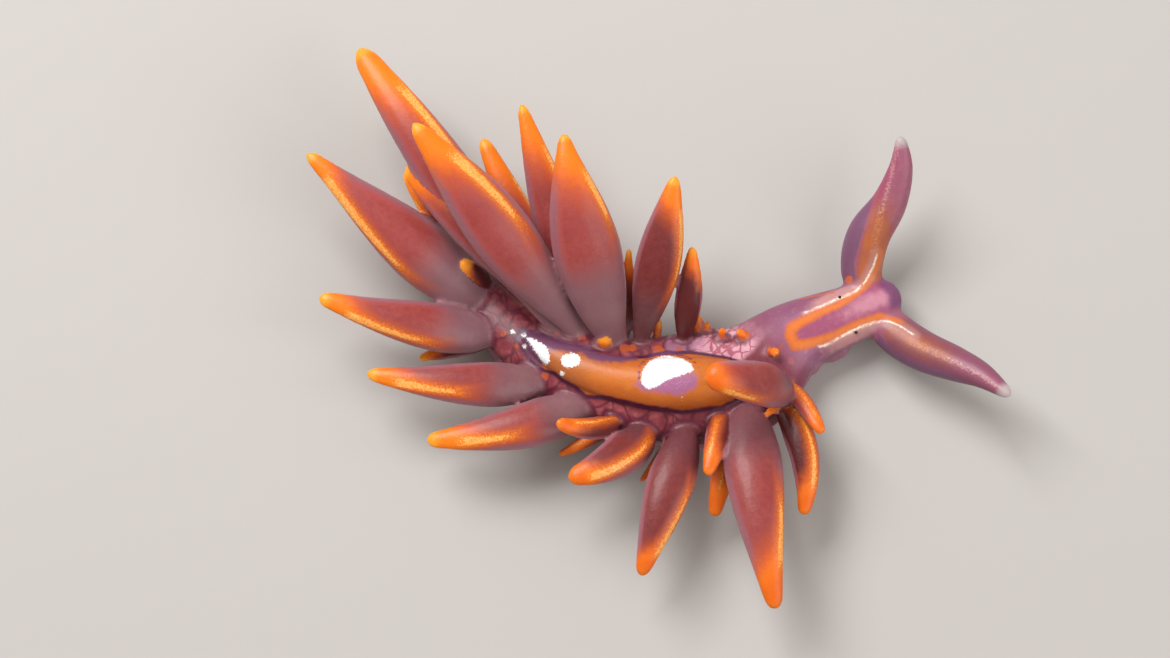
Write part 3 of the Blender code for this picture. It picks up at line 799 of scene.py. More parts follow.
def band(value, start, end):
    """1 inside a band and 0 outside. Each end is a pair between which the value changes softly."""
    return soft(value, *start) * (1 - soft(value, *end))


def from_line(points, line):
    """Distance of points to a line of points, and the share of the line where it is nearest."""
    line = np.asarray(line, float)
    best = np.full(len(points), FAR)
    where = np.zeros(len(points))
    for k, (a, b) in enumerate(zip(line, line[1:])):
        along = np.clip(((points - a) @ (b - a)) / ((b - a) @ (b - a)), 0, 1)
        off = np.linalg.norm(points - a - along[:, None] * (b - a), axis=1)
        where = np.where(off < best, (k + along) / (len(line) - 1), where)
        best = np.minimum(best, off)
    return best, where


def inside(points, outline):
    """Depth of points inside a closed outline, negative outside."""
    outline = np.asarray(outline, float)
    closed = np.vstack((outline, outline[:1]))
    off = from_line(points, closed)[0]
    within = np.zeros(len(points), bool)
    for a, b in zip(closed, closed[1:]):
        crosses = (a[1] > points[:, 1]) != (b[1] > points[:, 1])
        with np.errstate(divide="ignore", invalid="ignore"):
            x = a[0] + (points[:, 1] - a[1]) * (b[0] - a[0]) / (b[1] - a[1])
        within ^= crosses & (points[:, 0] < x)
    return np.where(within, off, -off)


def inside_spots(points, spots):
    """Depth inside the nearest of some round spots, given as x, y and radius."""
    return np.max([r - np.linalg.norm(points - (x, y), axis=1) for x, y, r in spots], axis=0)


skin_mm = np.empty(len(mesh.vertices) * 3)
mesh.vertices.foreach_get("co", skin_mm)
skin_mm = skin_mm.reshape(-1, 3) / MM
plan, height = skin_mm[:, :2], skin_mm[:, 2]
local = read("local", 3)
zone, number = (np.rint(read(name)).astype(int) for name in ("zone", "seed"))
print("measured on", len(plan), "points")

# %% Along and across the body
MIDLINE = np.linspace(0, len(STATIONS) - 1, 361)
CHUNK = 8000
midline_mm = between(STATIONS, MIDLINE)[:, :2]
# a few thousand points at a time, because all at once would fill the memory
nearest = np.empty(len(plan), int)
for k in range(0, len(plan), CHUNK):
    away = plan[k : k + CHUNK, None] - midline_mm
    nearest[k : k + CHUNK] = np.argmin((away**2).sum(axis=2), axis=1)
along = MIDLINE[nearest]
across = ((plan - midline_mm[nearest]) * left_at(along)[:, :2]).sum(axis=1)
print("farthest to the left of the middle line:", round(float(across.max()), 1), "mm")

# %% Numbers of the cerata
# shares of the half width or of the length between which a number changes
GLAND_MARGIN, GLAND_START = (0.04, 0.42), (0.1, 0.42)
RIM_WIDTH, BASE_END = (0.0, 0.16), (0.16, 0.5)
# cerata of the front right flank hold a deeper orange and less mauve, and their roots are red
DEEP_FROM, RED_ROOT_RIGHT, RED_ROOT_FRONT = (-0.5, 1.5), (1.1, 1.6), (0.0, 1.0)
STRIPE_WIDE, STRIPE_NARROW = 0.3, 0.12
STRIPE_END = 1.2
STRIPE_SHORTEST = 0.1
# a way round the flattened section is shorter than round a circle
ROUND_SHARE = 0.8
TIP_SKEW = 1.1
TIP_SKEW_START = 0.3
# what a point outside all cerata gets
ABSENT = {"stripe": -9.0, "tip": -9.0, "tip_left": 9.0}
NAMES = ("gland", "base_share", "rim", "dark", "deep", "low_root", "stripe", "tip", "tip_left")
on_ceras = {name: np.full(len(plan), ABSENT.get(name, 0.0)) for name in NAMES}
for k, ceras in enumerate(CERATA):
    mine = (zone == ZONE_CERAS) & (number == k + 1)
    share, right, up = local[mine].T
    half = ceras_half(ceras, np.clip(share, 0, 1))
    full = ceras.width / 2
    left_mm = (1 - share) * lengths[k]
    margin = (half - np.abs(right)) / full
    on_ceras["gland"][mine] = soft(margin, *GLAND_MARGIN) * soft(share, *GLAND_START)
    on_ceras["base_share"][mine] = 1 - soft(share, *BASE_END)
    # the rim is the paler jelly of the margin together with painted rim light along the edge
    on_ceras["rim"][mine] = 1 - soft(margin, *RIM_WIDTH)
    # a darker gland: partly its own colour, partly painted shade on cerata that lie low under others
    on_ceras["dark"][mine] = ceras.dark
    on_ceras["deep"][mine] = soft(ceras.root_x - ceras.root_y, *DEEP_FROM)
    on_ceras["low_root"][mine] = soft(-ceras.root_y, *RED_ROOT_RIGHT) * soft(ceras.root_x, *RED_ROOT_FRONT)
    turn = np.degrees(np.arctan2(up, right)) - ceras.stripe_turn
    off = np.radians(np.abs((turn + 180) % 360 - 180)) * half * ROUND_SHARE
    reach = left_mm / max(lengths[k] * ceras.stripe_reach, STRIPE_SHORTEST)
    wide = full * (STRIPE_WIDE + (STRIPE_NARROW - STRIPE_WIDE) * np.clip(reach, 0, 1))
    on_ceras["stripe"][mine] = np.minimum(wide - off, (1 - reach) * STRIPE_END)
    # the orange tip reaches farthest down on the side of the stripe
    skew = TIP_SKEW * np.maximum(off - TIP_SKEW_START * full, 0)
    on_ceras["tip"][mine] = (ceras.tip_length - left_mm - skew) / ceras.tip_length
    on_ceras["tip_left"][mine] = left_mm
deep = on_ceras["deep"]
orange = np.maximum(soft(on_ceras["tip"], -0.4, 0.7), soft(on_ceras["stripe"], -0.05, 0.1) * 0.5)
for name, values in (
    ("gland", on_ceras["gland"]),
    ("base_share", on_ceras["base_share"] * (1 - 0.4 * deep)),
    ("deep_base", on_ceras["base_share"] * on_ceras["low_root"]),
    ("rim", on_ceras["rim"]),
    ("dark_gland", on_ceras["dark"] * soft(on_ceras["gland"] + on_ceras["base_share"] * 0.6, 0.0, 0.6)),
    ("stripe", on_ceras["stripe"]),
    ("stripe_glow", on_ceras["stripe"] + 0.12),
    ("tip", on_ceras["tip"]),
    ("deep_orange", deep * orange),
    ("tip_end", (1 - soft(on_ceras["tip_left"], 0.1, 0.9)) * (1 - 0.7 * deep)),
    ("stripe_specks", soft(on_ceras["stripe"], -0.03, 0.12) * (1 - soft(on_ceras["tip"], -0.2, 0.6))),
):
    store(name, values)
print("points on cerata:", int((zone == ZONE_CERAS).sum()))

# %% Numbers of the flank
# round glands that shine through the skin of the flank: x, y, radius
FLANK_GLANDS = (
    (-4.2, 2.24, 0.2), (-2.92, 1.97, 0.28), (-0.75, 1.37, 0.3), (-0.35, 1.4, 0.28),
    (0.9, 1.24, 0.34), (1.94, 1.34, 0.22), (-6.87, 2.2, 0.2), (-6.16, 1.56, 0.22),
    (-4.75, 0.0, 0.24), (7.55, 0.75, 0.22),
)
tree_of_cerata = KDTree(int((zone == ZONE_CERAS).sum()))
for k, spot in enumerate(skin_mm[zone == ZONE_CERAS]):
    tree_of_cerata.insert(spot, k)
tree_of_cerata.balance()
from_base = np.zeros(len(plan))
for k in np.flatnonzero(zone == ZONE_BODY):
    from_base[k] = tree_of_cerata.find(skin_mm[k])[2]
# stations, or millimetres of height, between which a number changes
TRUNK_END, HEAD_START, TAIL_END = (6.1, 6.8), (6.3, 7.0), (0.4, 1.7)
SOLE_EDGE = (0.55, 1.2)
ROOT_SHADE_REACH = (0.08, 0.55)
FLANK_TOP = 1.2
on_trunk = 1 - soft(along, *TRUNK_END)
tail_end = 1 - soft(along, *TAIL_END)
front_left = band(along, (5.0, 5.6), (6.2, 7.0)) * soft(across, 0.4, 1.0)
# painted shade on the flank round the roots of the cerata, where their shoulders meet it
root_shade = np.where(zone == ZONE_BODY, 1 - soft(from_base, *ROOT_SHADE_REACH), 0.6)
store("on_trunk", on_trunk)
store("netted", on_trunk * (1 - front_left))
store("sole_share", np.maximum(1 - soft(height, *SOLE_EDGE), 0.85 * tail_end))
store("root_shade", root_shade * on_trunk * (1 - tail_end))
store("flank_gland", np.where(height > FLANK_TOP, inside_spots(plan, FLANK_GLANDS), -1))
store("front_left", front_left)
store("striated", band(along, (4.4, 4.8), (5.2, 5.8)) * soft(across, 1.0, 1.4))
store("on_head", soft(along, *HEAD_START))
print("farthest flank point from a ceras:", round(float(from_base.max()), 1), "mm")

# %% Numbers of the ridge over heart and kidney
# each outline is a ring of points x, y in mm, seen from above
TOP_SIDE = 2.0
RIDGE_OUTLINE = (
    (-5.94, 2.44), (-4.99, 2.09), (-4.3, 1.79), (-3.8, 1.45), (-3.15, 1.45), (-2.5, 1.23),
    (-2.05, 0.85), (-0.91, 0.75), (0.18, 0.85), (0.83, 1.05), (2.57, 1.1), (3.37, 0.97),
    (4.31, 0.82), (5.21, 0.52), (5.45, -0.39), (4.69, -1.39), (4.0, -1.69), (2.96, -1.83),
    (2.16, -1.95), (0.97, -1.8), (0.18, -1.69), (-1.26, -1.33), (-1.91, -1.16), (-2.7, -1.1),
    (-3.15, -0.68), (-3.8, -0.32), (-4.29, 0.09), (-4.84, 0.3), (-5.39, 0.72), (-5.79, 1.3),
    (-6.19, 1.93),
)
# the violet band between the upper outline and the orange
VIOLET_BAND = (
    (-6.3, 2.0), (-5.94, 2.6), (-4.99, 2.3), (-4.3, 2.0), (-3.15, 1.7), (-2.5, 1.5), (-2.05, 1.1),
    (-0.91, 1.0), (-0.1, 0.95), (-0.15, 0.45), (-0.77, 0.42), (-1.41, 0.38), (-1.91, 0.34),
    (-2.5, 0.58), (-3.0, 0.92), (-3.94, 1.0), (-4.44, 1.1), (-4.55, 0.5), (-5.0, 0.3), (-5.7, 0.9),
)
LEAF_PATCH = (
    (-5.68, 1.93), (-5.6, 1.7), (-5.38, 1.4), (-5.16, 1.05), (-4.94, 0.75), (-4.7, 0.49),
    (-4.52, 0.6), (-4.56, 1.1), (-4.74, 1.42), (-5.09, 1.66), (-5.45, 1.86),
)
BEAN_PATCH = (
    (0.01, -0.43), (0.09, -0.03), (0.42, 0.51), (0.82, 0.82), (1.3, 0.92), (1.78, 0.86),
    (2.24, 0.62), (2.55, 0.3), (2.63, 0.03), (2.5, -0.09), (2.15, -0.21), (1.51, -0.41),
    (1.04, -0.65), (0.64, -0.88), (0.41, -0.91), (0.13, -0.75),
)
LILAC_PATCH = (
    (-0.47, -0.62), (-0.03, -0.3), (0.42, -0.5), (1.06, -0.3), (1.5, -0.1), (2.5, 0.0), (2.72, 0.1),
    (2.94, -0.45), (2.84, -0.88), (2.29, -1.22), (1.75, -1.34), (1.26, -1.24), (0.66, -1.14),
    (0.02, -1.05),
)
BEAN_RIM = (
    (-0.1, -0.5), (-0.08, -0.08), (-0.02, 0.24), (0.23, 0.66), (0.65, 0.98), (1.38, 1.1),
    (2.17, 0.92), (2.62, 0.6), (2.82, 0.15),
)
# round white spots: x, y, radius
WHITE_SPOTS = (
    (-3.36, 0.64, 0.36), (-3.58, 0.6, 0.35), (-6.35, 2.3, 0.13), (-5.8, 2.08, 0.11),
    (-5.78, 1.5, 0.1), (-3.89, 0.0, 0.11), (2.11, -1.35, 0.06), (-1.76, 3.11, 0.05),
)
on_top = height > TOP_SIDE
ridge = np.where(on_top, inside(plan, RIDGE_OUTLINE), -1)
white = np.max([inside(plan, LEAF_PATCH), inside(plan, BEAN_PATCH), inside_spots(plan, WHITE_SPOTS)], axis=0)
for name, values in (
    ("ridge", ridge),
    ("rear_ridge", (1 - soft(along, 2.7, 4.2)) * soft(ridge, 0, 0.1)),
    ("violet", np.where(on_top, inside(plan, VIOLET_BAND), -1)),
    ("white", np.where(on_top, white, -1)),
    ("lilac", np.where(on_top, inside(plan, LILAC_PATCH), -1)),
    ("bean_rim", np.where(on_top, from_line(plan, BEAN_RIM)[0], FAR)),
):
    store(name, values)
print("points on the ridge:", int((ridge > 0).sum()))

# %% Numbers of the head
# each line is a row of points x, y in mm, seen from above
ORANGE_ARMS = (
    (
        (7.5, 2.06), (7.6, 2.44), (8.27, 2.8), (9.13, 3.27), (10.04, 3.63), (10.65, 4.05),
        (11.31, 4.55), (11.72, 5.18), (11.98, 5.7), (12.05, 6.2),
    ),
    (
        (7.5, 2.06), (7.75, 1.5), (8.76, 1.7), (9.77, 2.06), (10.53, 2.47), (11.28, 2.78),
        (12.04, 3.05), (13.05, 2.75),
    ),
)
CREAM_LINES = (
    (
        (8.12, 3.12), (9.13, 3.54), (9.79, 3.85), (10.8, 4.27), (11.32, 4.78), (11.73, 5.53),
        (11.9, 6.1),
    ),
    (
        (9.0, 1.5), (9.32, 1.57), (10.02, 1.97), (10.53, 2.23), (11.03, 2.48), (11.79, 2.75),
        (12.39, 2.79), (12.79, 2.64), (13.17, 2.4), (13.7, 2.0),
    ),
)
MIDDLE_STRIPE = ((7.86, 2.04), (9.02, 2.55), (10.53, 3.27), (12.05, 3.96), (13.2, 4.4))
CHEEK_LINES = (
    ((7.91, 3.99), (9.16, 4.21), (9.81, 4.29)),
    ((10.9, 1.74), (10.45, 1.33), (9.94, 0.97)),
    ((7.3, 1.9), (7.0, 1.3), (6.9, 0.7)),
)
CHEEK_SPOTS = ((10.52, 4.95, 0.2), (5.0, 1.3, 0.15))
ARM_WIDE, ARM_NARROW = 0.29, 0.2
ARM_THINNER_ON_FEELER = 0.03
CHEEK_WIDTH = 0.07
MIDDLE_WIDTH = 0.8
SNOUT_TIP = (8.66, 8.86)


def arm_depth(line):
    """Depth inside an orange arm, which is widest where the two arms meet."""
    off, where = from_line(plan, line)
    return ARM_WIDE + (ARM_NARROW - ARM_WIDE) * soft(where, 0.1, 0.5) - off


facing_up = soft(height, 1.7, 2.2)
arm = np.max([arm_depth(line) for line in ORANGE_ARMS], axis=0)
arm = np.where(zone == ZONE_BODY, arm, arm - ARM_THINNER_ON_FEELER)
cream = np.min([from_line(plan, line)[0] for line in CREAM_LINES], axis=0)
between_arms = inside(plan, ORANGE_ARMS[0] + ORANGE_ARMS[1][:0:-1])
beside_cream = soft(-between_arms, 0.05, 0.3) * (1 - soft(cream, 0.25, 0.7))
middle, middle_share = from_line(plan, MIDDLE_STRIPE)
front_pink = band(middle_share, (0.2, 0.7), (0.8, 1.0)) * soft(MIDDLE_WIDTH - middle, 0.0, MIDDLE_WIDTH)
left_side = soft(-between_arms, 0.25, 0.6) * soft(across, 0.3, 0.8)
cheek = CHEEK_WIDTH - np.min([from_line(plan, line)[0] for line in CHEEK_LINES], axis=0)
for name, values in (
    ("arm", arm - (1 - facing_up)),
    ("cream", cream + (1 - facing_up)),
    ("outside_cream", beside_cream * facing_up * soft(along, 7.2, 7.9)),
    ("middle", soft(between_arms, 0.0, 0.3) * facing_up),
    ("middle_front", front_pink * facing_up),
    # painted shade on the snout's front, where it curves down
    ("snout", soft(along + 0.12 * np.abs(across), *SNOUT_TIP)),
    ("head_side", np.maximum(soft(-between_arms, 0.8, 1.4), 0.8 * left_side)),
    ("cheek", np.maximum(cheek, inside_spots(plan, CHEEK_SPOTS)) - (1 - soft(height, 1.1, 1.5))),
    ("foot_edge", soft(0.95 - height, 0.0, 0.3) * soft(along, 5.0, 6.5)),
):
    store(name, values)
print("points between the orange arms:", int((between_arms > 0).sum()))

# %% Numbers of the feelers
LEFT_LINE = (
    (11.55, 5.2), (11.66, 5.6), (11.8, 6.74), (12.0, 7.91), (12.28, 8.86), (12.5, 9.66),
    (12.74, 10.96), (12.9, 11.7),
)
RIGHT_LINE = (
    (13.0, 2.2), (13.73, 1.6), (14.93, 0.95), (15.88, 0.35), (16.82, -0.23), (17.98, -1.1),
    (18.3, -1.4),
)
# the free edge of each rolled feeler, dark and thin, seen from above
FLAPS = (
    (
        (9.5, 4.6), (10.85, 4.9), (10.75, 5.75), (11.1, 6.95), (11.4, 7.9), (11.75, 9.1),
        (10.5, 9.6), (9.5, 8.0),
    ),
    (
        (11.9, 2.3), (12.6, 1.35), (13.7, 0.65), (15.1, 0.1), (16.6, -0.75), (17.4, -1.5),
        (15.5, -2.5), (12.0, -0.5),
    ),
)
# a point on the body counts as the root of a feeler
at, angle, hollow = np.where(zone == ZONE_FEELER, local.T, 0.0)
from_left, from_right = (from_line(plan, line)[0] for line in (LEFT_LINE, RIGHT_LINE))
left_one = from_left < from_right
feeler_line = np.where(left_one, from_left, from_right)
flap = np.max([inside(plan, outline) for outline in FLAPS], axis=0)
# painted shade on the underside of each feeler and inside its roll, added to the dark free edge
under = np.maximum(soft(np.abs(angle), 100, 135), hollow * 0.7)
ochre = (1 - soft(at, 2.0, 4.0)) * (1 - soft(feeler_line, 0.5, 1.0))
# painted shade on the right feeler only, darker on one side and less along its pale line
right_shade = np.where(left_one, 0.0, 0.75 + 0.25 * soft(angle, -30, 60))
beside_line = 1 - 0.5 * soft(-feeler_line, -0.5, -0.1)
for name, values in (
    ("feeler_streak", (1 - soft(feeler_line, 0.0, 0.34)) * band(at, (2.2, 3.2), (4.9, 5.0))),
    ("feeler_specks", (1 - soft(feeler_line, 0.1, 0.55)) * band(at, (1.2, 1.8), (2.8, 3.8))),
    ("feeler_ochre", ochre * (1 - soft(flap, -0.2, 0.1))),
    ("feeler_flap", np.maximum(soft(flap, -0.08, 0.16), under)),
    ("feeler_dusk", right_shade * soft(at, 0.6, 1.4) * beside_line),
    ("feeler_magenta", np.where(left_one, soft(-angle, 5, 45), 0.3) * soft(at, 1.5, 2.5)),
    ("feeler_tip", soft(at, 4.45, 4.85)),
):
    store(name, values)
print("numbers on the skin:", len(mesh.attributes))

# %% [markdown]
# ## Colours
#
# Hex colours are easy to read off and compare, but shaders mix light, so each is turned to linear.

# %% Hex to linear


def linear(code):
    """An sRGB hex colour as linear red, green, blue and alpha."""
    values = [int(code[k : k + 2], 16) / 255 for k in (1, 3, 5)]
    return tuple(v / 12.92 if v <= 0.04045 else ((v + 0.055) / 1.055) ** 2.4 for v in values) + (1.0,)


print("half grey is", round(linear("#808080")[0], 3), "in linear light")


# %% [markdown]
# ## The living skin
#
# The skin is thin wet tissue, clear like jelly at its edges, over coloured organs. In each ceras a
# rose-red gland fills the middle, mauve jelly shows along the edges, and pigment cells draw an
# orange stripe and tip speckled with cream. Pigment lies in layers, so the colour is painted the same
# way: a base colour, then one layer after another. A few layers are painted shade instead: round the
# roots of the cerata, in part on cerata that lie low, at the snout's front, under and inside the
# feelers and on the right feeler; the pale rims of the cerata are partly painted rim light. Each layer
# takes one stored number, shakes its border with a pattern of real size, and covers what is below by
# its strength.

# %% Patterns of the skin
NOISE = "ShaderNodeTexNoise"
WARP_SIZE, WARP_REACH = 1.3, 0.9
# name, size in mm, fineness: noise runs from 0 to 1, mostly near 0.5
NOISES = (("fine", 0.1, 2.0), ("grain", 0.3, 4.0), ("blotch", 0.8, 3.0), ("broad", 2.2, 2.0))
# name, size in mm, what is measured: 0 is the middle of a dot or a thread of a net, in shares of a cell
CELLS = (("dots", 0.1, "F1"), ("small_net", 0.5, "DISTANCE_TO_EDGE"), ("net", 0.95, "DISTANCE_TO_EDGE"))
look = slug_skin.node_tree
shader = look.nodes["Principled BSDF"]
coords = add_node(look, "ShaderNodeTexCoord").outputs["Object"]
links = {"Vector": coords, "Scale": 1 / (WARP_SIZE * MM), "Detail": 2.0}
warp = add_node(look, NOISE, links).outputs["Color"]
# the threads of a net are bent by noise, so that they aren't straight
links = {0: warp, 1: (WARP_REACH * MM,) * 3, 2: coords}
bent = add_node(look, "ShaderNodeVectorMath", links, operation="MULTIPLY_ADD").outputs[0]
PATTERNS = {}
for name, size, detail in NOISES:
    links = {"Vector": coords, "Scale": 1 / (size * MM), "Detail": detail}
    PATTERNS[name] = add_node(look, NOISE, links).outputs["Fac"]
# the real grains of pigment are finer: the dots are drawn coarser, so that they show
for name, size, feature in CELLS:
    links = {"Vector": coords if name == "dots" else bent, "Scale": 1 / (size * MM)}
    PATTERNS[name] = add_node(look, "ShaderNodeTexVoronoi", links, feature=feature).outputs["Distance"]
print("patterns:", ", ".join(PATTERNS))

# %% The layers of pigment, painted shade and painted rim light
# stored number, pattern and how much it shakes the number, from where to where the layer comes in,
# colour, strength
CERAS_BASE = "#98606A"
CERAS_LAYERS = (
    ("gland", "grain", 0.2, 0.1, 0.95, "#AA4C48", 0.95),
    ("gland", "broad", 1.4, 1.4, 2.0, "#98362F", 0.4),
    ("gland", "grain", 0.8, 1.2, 1.6, "#8C3436", 0.4),
    ("gland", "dots", -1.4, 0.2, 0.8, "#903A38", 0.35),
    ("base_share", "broad", 0.5, 0.3, 1.1, "#8A626A", 0.85),
    ("base_share", "broad", 1.0, 1.2, 1.7, "#A07C80", 0.4),
    # paler jelly of the margin together with painted rim light along the edges
    ("rim", "grain", 0.2, 0.3, 1.1, "#A8747C", 0.55),
    ("deep_base", "grain", 0.4, 0.3, 1.1, "#783036", 0.35),
    # darker gland, partly its own colour and partly painted shade on low-lying cerata
    ("dark_gland", "grain", 0.2, 0.1, 1.05, "#561A1C", 0.95),
    ("stripe_glow", "grain", 0.2, -0.18, 0.2, "#C0582A", 0.75),
    ("tip", "grain", 0.5, -0.9, 0.45, "#D8601C", 0.9),
    ("stripe", "fine", 0.45, 0.08, 0.38, "#E87E1C", 0.95),
    ("tip", "grain", 0.35, -0.3, 0.65, "#F07C10", 1.0),
    ("deep_orange", "grain", 0.5, 0.4, 1.2, "#D85A08", 0.7),
    ("stripe_specks", "fine", 1.4, 1.35, 1.75, "#FFB860", 0.65),
    ("stripe_specks", "dots", -1.6, 0.1, 0.6, "#FFCE80", 0.5),
    ("tip_end", "grain", 0.3, 0.2, 1.0, "#FFA62C", 0.8),
)
BODY_BASE = "#7A2E3A"
BODY_LAYERS = (
    ("on_trunk", "blotch", 1.0, 1.35, 1.8, "#B05A5C", 0.75),
    ("on_trunk", "grain", 1.0, 1.5, 1.8, "#5E1C30", 0.6),
    ("striated", "grain", 0.6, 0.6, 1.1, "#A07090", 0.6),
    ("front_left", "blotch", 1.2, 0.65, 1.7, "#E4AEBC", 0.9),
    ("front_left", "small_net", -6.0, 0.1, 0.7, "#98304A", 0.75),
    ("netted", "net", -5.0, 0.4, 0.95, "#481024", 0.65),
    # painted shade round the roots of the cerata
    ("root_shade", "grain", 0.7, 0.6, 1.2, "#58142C", 0.85),
    ("flank_gland", "grain", 0.4, 0.2, 0.32, "#B04E1E", 0.9),
    ("sole_share", "grain", 0.2, 0.2, 1.0, "#B88898", 0.9),
    ("ridge", "fine", 0.04, -0.14, -0.02, "#4A1838", 0.95),
    ("ridge", "grain", 0.1, 0.08, 0.2, "#BE6424", 1.0),
    ("ridge", "blotch", 0.9, 0.75, 1.4, "#D2782A", 0.7),
    ("rear_ridge", "blotch", 0.5, 0.5, 1.2, "#AC6438", 0.7),
    ("violet", "grain", 0.5, 0.2, 0.5, "#6D4462", 0.95),
    ("lilac", "fine", 0.5, 0.2, 0.5, "#A86A98", 0.9),
    ("lilac", "dots", -1.2, -0.1, 0.5, "#D0A0C8", 0.6),
    ("bean_rim", "fine", 0.1, 0.15, 0.08, "#6A3060", 0.8),
    ("white", "fine", 0.3, 0.1, 0.2, "#F6F8FA", 1.0),
)
HEAD_BASE = "#98607A"
HEAD_LAYERS = (
    ("on_head", "blotch", 1.0, 1.4, 1.8, "#8C5076", 0.6),
    ("on_head", "grain", 1.0, 1.5, 1.8, "#BC8EA2", 0.45),
    ("head_side", "grain", 0.3, 0.2, 1.2, "#804462", 0.65),
    ("middle", "grain", 0.3, 0.3, 1.0, "#9E4E6E", 0.85),
    ("middle_front", "grain", 0.8, 0.4, 1.5, "#CC90A0", 0.8),
    # painted shade on the snout's front, where it curves down
    ("snout", "grain", 0.3, 0.2, 1.1, "#74406A", 0.85),
    ("outside_cream", "grain", 0.5, 0.25, 1.0, "#C8948E", 0.75),
    ("cheek", "fine", 0.06, 0.02, 0.08, "#C4602C", 0.8),
    ("foot_edge", "grain", 0.2, 0.3, 0.9, "#A87888", 0.6),
    ("arm", "grain", 0.16, -0.02, 0.16, "#CC6828", 0.85),
    ("arm", "grain", 0.2, 0.12, 0.32, "#DC7828", 0.85),
    ("cream", "grain", 0.3, 0.32, 0.1, "#E8B8A4", 0.6),
    ("cream", "fine", 0.12, 0.15, 0.05, "#FFF0E0", 0.95),
)
FEELER_BASE = "#9C5A70"
FEELER_LAYERS = (
    ("on_head", "grain", 1.0, 1.45, 1.85, "#B47888", 0.5),
    ("feeler_magenta", "grain", 0.4, 0.3, 1.1, "#A24A70", 0.7),
    ("feeler_ochre", "blotch", 0.5, 0.25, 1.2, "#A45A40", 0.85),
    ("feeler_ochre", "blotch", 0.5, 0.9, 1.5, "#C46C30", 0.7),
    # painted shade on the right feeler
    ("feeler_dusk", "grain", 0.4, 0.2, 1.4, "#704056", 0.8),
    # the dark free edge of the roll together with painted shade under the feeler and inside the roll
    ("feeler_flap", "grain", 0.3, 0.1, 0.8, "#74506C", 0.85),
    ("cream", "grain", 0.15, 0.55, 0.2, "#BC9290", 0.5),
    ("cheek", "fine", 0.06, 0.02, 0.08, "#D06A28", 0.8),
    ("arm", "grain", 0.16, 0.0, 0.24, "#D47028", 0.9),
    ("feeler_specks", "fine", 1.6, 1.55, 2.2, "#D0904C", 0.6),
    ("feeler_streak", "fine", 1.8, 1.45, 2.2, "#D4A8A0", 0.55),
    ("cream", "fine", 0.1, 0.14, 0.04, "#FFF0E0", 0.95),
    ("feeler_tip", "grain", 0.5, 0.45, 1.3, "#B8B2B2", 0.8),
)


def painted(base, layers):
    """Lays the layers of pigment, painted shade and painted rim light over a base colour, from the deepest
    to the outermost.
    """
    colour = linear(base)
    for name, pattern, shake, low, high, over, strength in layers:
        stored = add_node(look, "ShaderNodeAttribute", attribute_name=name).outputs["Fac"]
        links = {0: PATTERNS[pattern], 1: shake, 2: stored}
        shaken = add_node(look, "ShaderNodeMath", links, operation="MULTIPLY_ADD").outputs[0]
        links = {"Value": shaken, "From Min": low, "From Max": high, "To Max": strength}
        share = add_node(look, "ShaderNodeMapRange", links, interpolation_type="SMOOTHSTEP").outputs[0]
        links = {0: share, 6: colour, 7: linear(over)}
        colour = add_node(look, "ShaderNodeMix", links, data_type="RGBA").outputs[2]
    return colour


# %% Body, head, cerata and feelers share one skin
colour = painted(BODY_BASE, BODY_LAYERS)
for name, over in (
    ("on_head", painted(HEAD_BASE, HEAD_LAYERS)),
    ("is_ceras", painted(CERAS_BASE, CERAS_LAYERS)),
    ("is_feeler", painted(FEELER_BASE, FEELER_LAYERS)),
):
    share = add_node(look, "ShaderNodeAttribute", attribute_name=name).outputs["Fac"]
    colour = add_node(look, "ShaderNodeMix", {0: share, 6: colour, 7: over}, data_type="RGBA").outputs[2]
look.links.new(colour, shader.inputs["Base Color"])
# faint wrinkles keep the wet surface from looking like glass
WRINKLE_STRENGTH, WRINKLE_DEPTH = 0.25, 0.06 * MM
links = {0: PATTERNS["grain"], 1: 1.0, 2: PATTERNS["fine"]}
wrinkles = add_node(look, "ShaderNodeMath", links, operation="MULTIPLY_ADD").outputs[0]
links = {"Height": wrinkles, "Strength": WRINKLE_STRENGTH, "Distance": WRINKLE_DEPTH}
look.links.new(add_node(look, "ShaderNodeBump", links).outputs["Normal"], shader.inputs["Normal"])
print("material on the skin:", mesh.materials[0].name)
print("layers of pigment:", len(CERAS_LAYERS) + len(BODY_LAYERS) + len(HEAD_LAYERS) + len(FEELER_LAYERS))

# %% [markdown]
# ## Eyes
#
# Each eye is a bead of black pigment just under the skin, so it shows as a small shining dot. It
# could be painted on, but a real bead takes its place and depth from the frame.

# %% Eye beads
EYE_RADIUS = 0.085
EYE_SIDES, EYE_RINGS = 20, 11


def eye_bead(name, node):
    """A ball in the middle of the eye's node."""
    low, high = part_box(node)
    ball = bmesh.new()
    bmesh.ops.create_uvsphere(ball, u_segments=EYE_SIDES, v_segments=EYE_RINGS, radius=EYE_RADIUS * MM)
    bmesh.ops.translate(ball, verts=ball.verts, vec=(low + high) / 2)
    mesh = bpy.data.meshes.new(name)
    ball.to_mesh(mesh)
    ball.free()
    mesh.shade_smooth()
    return new_object(name, mesh)


# Black pigment in a moist cup: almost no colour, and a small sharp glint.
pigment = new_material("black_eye_pigment", {"Base Color": linear("#0A0608"), "Roughness": 0.12})
for side in ("left", "right"):
    bead = eye_bead(f"eye_bead_{side}", f"eye_{side}")
    bead.data.materials.append(pigment)
    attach(bead, "root")
    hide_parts(f"eye_{side}")
print("eye beads:", 2 * EYE_RADIUS, "mm wide")

# %% The skin takes the place of the flesh nodes
TRUNK = ("trunk_rear", "trunk_middle", "trunk_front")
FLESH = ("tail", *TRUNK, "neck", "head", "foot", "heart_ridge", "rhinophore_left", "rhinophore_right")
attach(skin, "root")
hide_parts(*FLESH)
print("nodes under the skin:", len(FLESH))

# %% [markdown]
# ## Floor and light
#
# A museum shows such a model on a plain pale board. One large soft lamp from above left and a weaker
# one from the right show the forms, and a pale world fills the shadows.

# %% Floor
FLOOR_HALF = 400


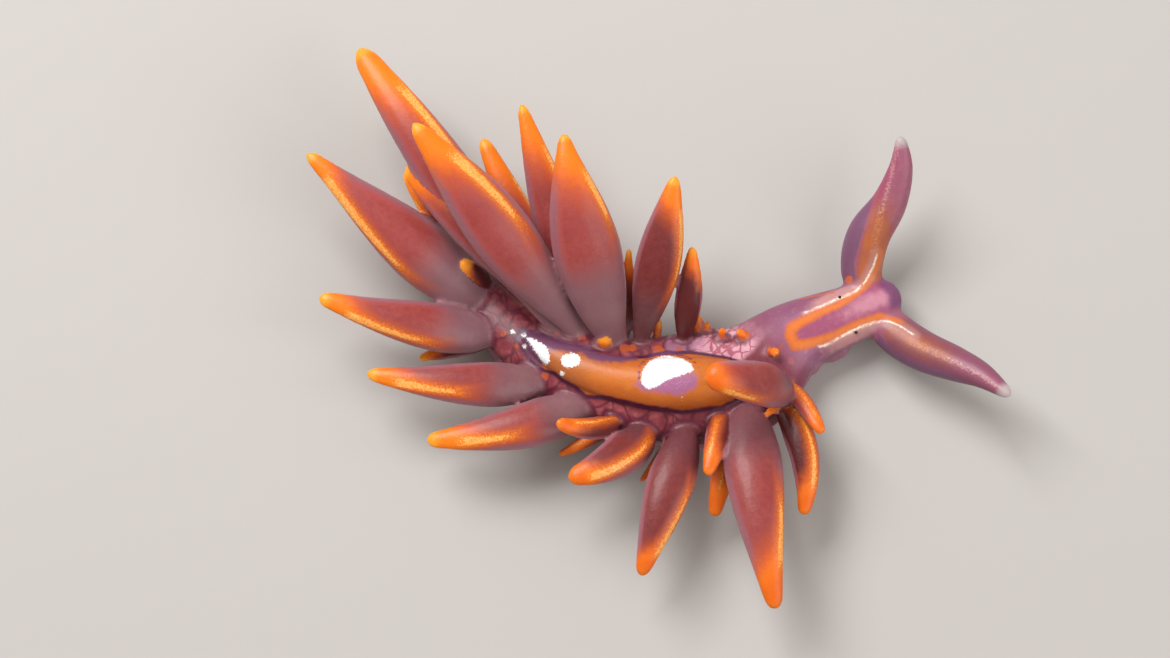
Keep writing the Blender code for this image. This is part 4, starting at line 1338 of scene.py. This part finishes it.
def add_floor():
    """A square board. Matt plaster spreads light evenly, so that only soft shadows lie on it."""
    half = FLOOR_HALF * MM
    corners = ((-half, -half, 0), (half, -half, 0), (half, half, 0), (-half, half, 0))
    mesh = bpy.data.meshes.new("floor")
    mesh.from_pydata(corners, [], ((0, 1, 2, 3),))
    mesh.materials.append(new_material("matt_plaster", {"Base Color": linear("#B9B5B2"), "Roughness": 0.9}))
    return new_object("floor", mesh)


add_floor()
print("floor:", 2 * FLOOR_HALF, "mm wide")

# %% Lights
# name, place in mm, size in mm, power in watts
LAMPS = (("key", (-90, 110, 180), 120, 0.55), ("fill", (150, -60, 140), 160, 0.2))
WORLD_COLOUR, WORLD_STRENGTH = "#F2EAE0", 0.45
for name, spot, size, power in LAMPS:
    lamp = bpy.data.lights.new(name, "AREA")
    lamp.size = size * MM
    lamp.energy = power
    stand = new_object(name, lamp)
    stand.location = Vector(spot) * MM
    stand.rotation_euler = (-stand.location).to_track_quat("-Z", "Y").to_euler()
world = bpy.data.worlds.new("studio")
world.use_nodes = True
sky = world.node_tree.nodes["Background"].inputs
sky["Color"].default_value = linear(WORLD_COLOUR)
sky["Strength"].default_value = WORLD_STRENGTH
bpy.context.scene.world = world
print("lamps:", len(LAMPS))

# %% [markdown]
# ## Camera
#
# The picture is taken from almost straight above, 10 degrees towards the animal's right side. One
# millimetre at the height of the cerata is 20 pixels of the 1170 pixels wide picture.

# %% Camera
PICTURE_WIDTH = 1170
PIXELS_PER_MM = 20
DISTANCE = 180
ELEVATION = 80
LOOK_AT = (-2.75, 2.31, 3.0)
SENSOR_WIDTH = 36
camera = bpy.data.cameras.new("camera")
camera.sensor_width = SENSOR_WIDTH
camera.lens = camera.sensor_width * DISTANCE / (PICTURE_WIDTH / PIXELS_PER_MM)
camera.clip_start = 1 * MM
seat = new_object("camera", camera)
rise = math.radians(ELEVATION)
target = Vector(LOOK_AT) * MM
seat.location = target + Vector((0, -math.cos(rise), math.sin(rise))) * DISTANCE * MM
seat.rotation_euler = (target - seat.location).to_track_quat("-Z", "Y").to_euler()
bpy.context.scene.camera = seat
bpy.context.scene.view_settings.view_transform = "Standard"
print("lens:", round(camera.lens, 1), "mm")
